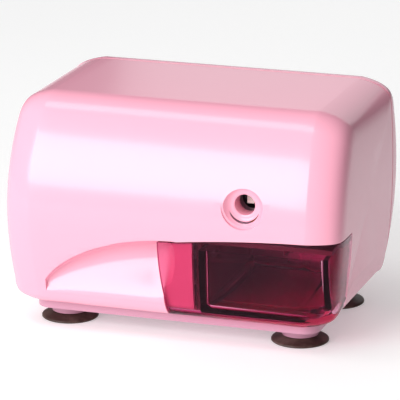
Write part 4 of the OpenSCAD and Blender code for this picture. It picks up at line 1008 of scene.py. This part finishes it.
FALL_START, FALL_WIDTH = 0.12, 0.2     # metres to the right of the middle
SKY_BRIGHTEST = (-0.5, -0.72, 0.48)
LAMPS = [                              # name, place, size, power
    ("key", (-0.75, -1.6, 0.8), (1.3, 1.0), 27),
    ("overhead", (-0.4, -0.45, 1.5), (1.1, 0.4), 4.8),
    ("back card", (0.0, 1.5, 0.6), (1.2, 0.6), 1.9),
]


def node_slots():
    """The record's material slot of each part"""
    return {part["node"]: part["material_slot"] for part in frame["record"]["subparts"]}


PAINTS = {}


def mix_paints():
    casing, drawer, _ = settings()
    PAINTS.update({
        "body_pink": moulded_gloss("pearl pink", casing.colour[:]),
        "base_pink": moulded_gloss("base pink", casing.base_colour[:], 0.3, 0.2),
        "smoked_pink": smoked_clear("smoked pink", drawer.tint[:]),
        "drawer_edge": smoked_clear("drawer edge", drawer.edge[:], 0.25, 0.5, 0.35),
        "sucker_rubber": rubber("brown rubber", (0.045, 0.02, 0.016)),
        "black_plastic": moulded_satin("black plastic", (0.03, 0.03, 0.033)),
        "dark_bay": moulded_satin("bay lining", (0.16, 0.05, 0.06), 0.4),
        "white_plastic": moulded_satin("white acetal", (0.82, 0.8, 0.74), 0.38),
        "red_plastic": moulded_satin("red plastic", (0.6, 0.03, 0.04), 0.35),
        "plated_steel": turned_metal("zinc-plated steel", (0.66, 0.66, 0.68)),
        "tool_steel": turned_metal("ground steel", (0.4, 0.4, 0.42), 0.24, (1, 30, 1)),
        "die_cast": cast_metal("die casting", (0.62, 0.63, 0.64)),
        "bronze": turned_metal("sintered bronze", (0.7, 0.47, 0.2), 0.36, (1, 4, 1), 0.7),
        "copper_wire": wound_wire("copper windings", (0.72, 0.3, 0.12)),
        "lamination": stacked_sheets("steel sheets", (0.4, 0.4, 0.42)),
        "carbon": moulded_satin("pressed carbon", (0.02, 0.02, 0.02), 0.5, 1400),
        "board": resin_board("circuit board", (0.36, 0.22, 0.07)),
        "capacitor_yellow": moulded_satin("capacitor case", (0.75, 0.5, 0.06), 0.3),
        "fuse_glass": smoked_clear("fuse glass", (0.86, 0.9, 0.9)),
    })


class SharpenerPanel(bpy.types.Panel):
    """Lists the sizes and the makers of the sharpener"""
    bl_idname = "VIEW3D_PT_sharpener"
    bl_label = "Desk Sharpener"
    bl_space_type = "VIEW_3D"
    bl_region_type = "UI"
    bl_category = "Sharpener"

    def draw(self, context):
        for group in settings():
            box = self.layout.box()
            for name in group.__annotations__:
                box.prop(group, name)
        for maker in MAKERS:
            self.layout.operator(maker.bl_idname)


MAKERS = (MakeStage, FinishInnerParts, MakeCasingFront, MakeRearCover, MakeDrawer, MakeBase, MakeScrews,
          MakeSuckers, MakeGland)
CLASSES = (CasingSizes, DrawerSizes, FixingSizes, *MAKERS, SharpenerPanel)


def register():
    for cls in CLASSES:
        bpy.utils.register_class(cls)
    bpy.types.Scene.sharpener_casing = PointerProperty(type=CasingSizes)
    bpy.types.Scene.sharpener_drawer = PointerProperty(type=DrawerSizes)
    bpy.types.Scene.sharpener_fixings = PointerProperty(type=FixingSizes)


def unregister():
    del bpy.types.Scene.sharpener_fixings
    del bpy.types.Scene.sharpener_drawer
    del bpy.types.Scene.sharpener_casing
    for cls in reversed(CLASSES):
        bpy.utils.unregister_class(cls)


def main():
    register()
    mix_paints()
    for maker in MAKERS:
        group, name = maker.bl_idname.split(".")
        getattr(getattr(bpy.ops, group), name)()


if __name__ == "__main__":
    main()
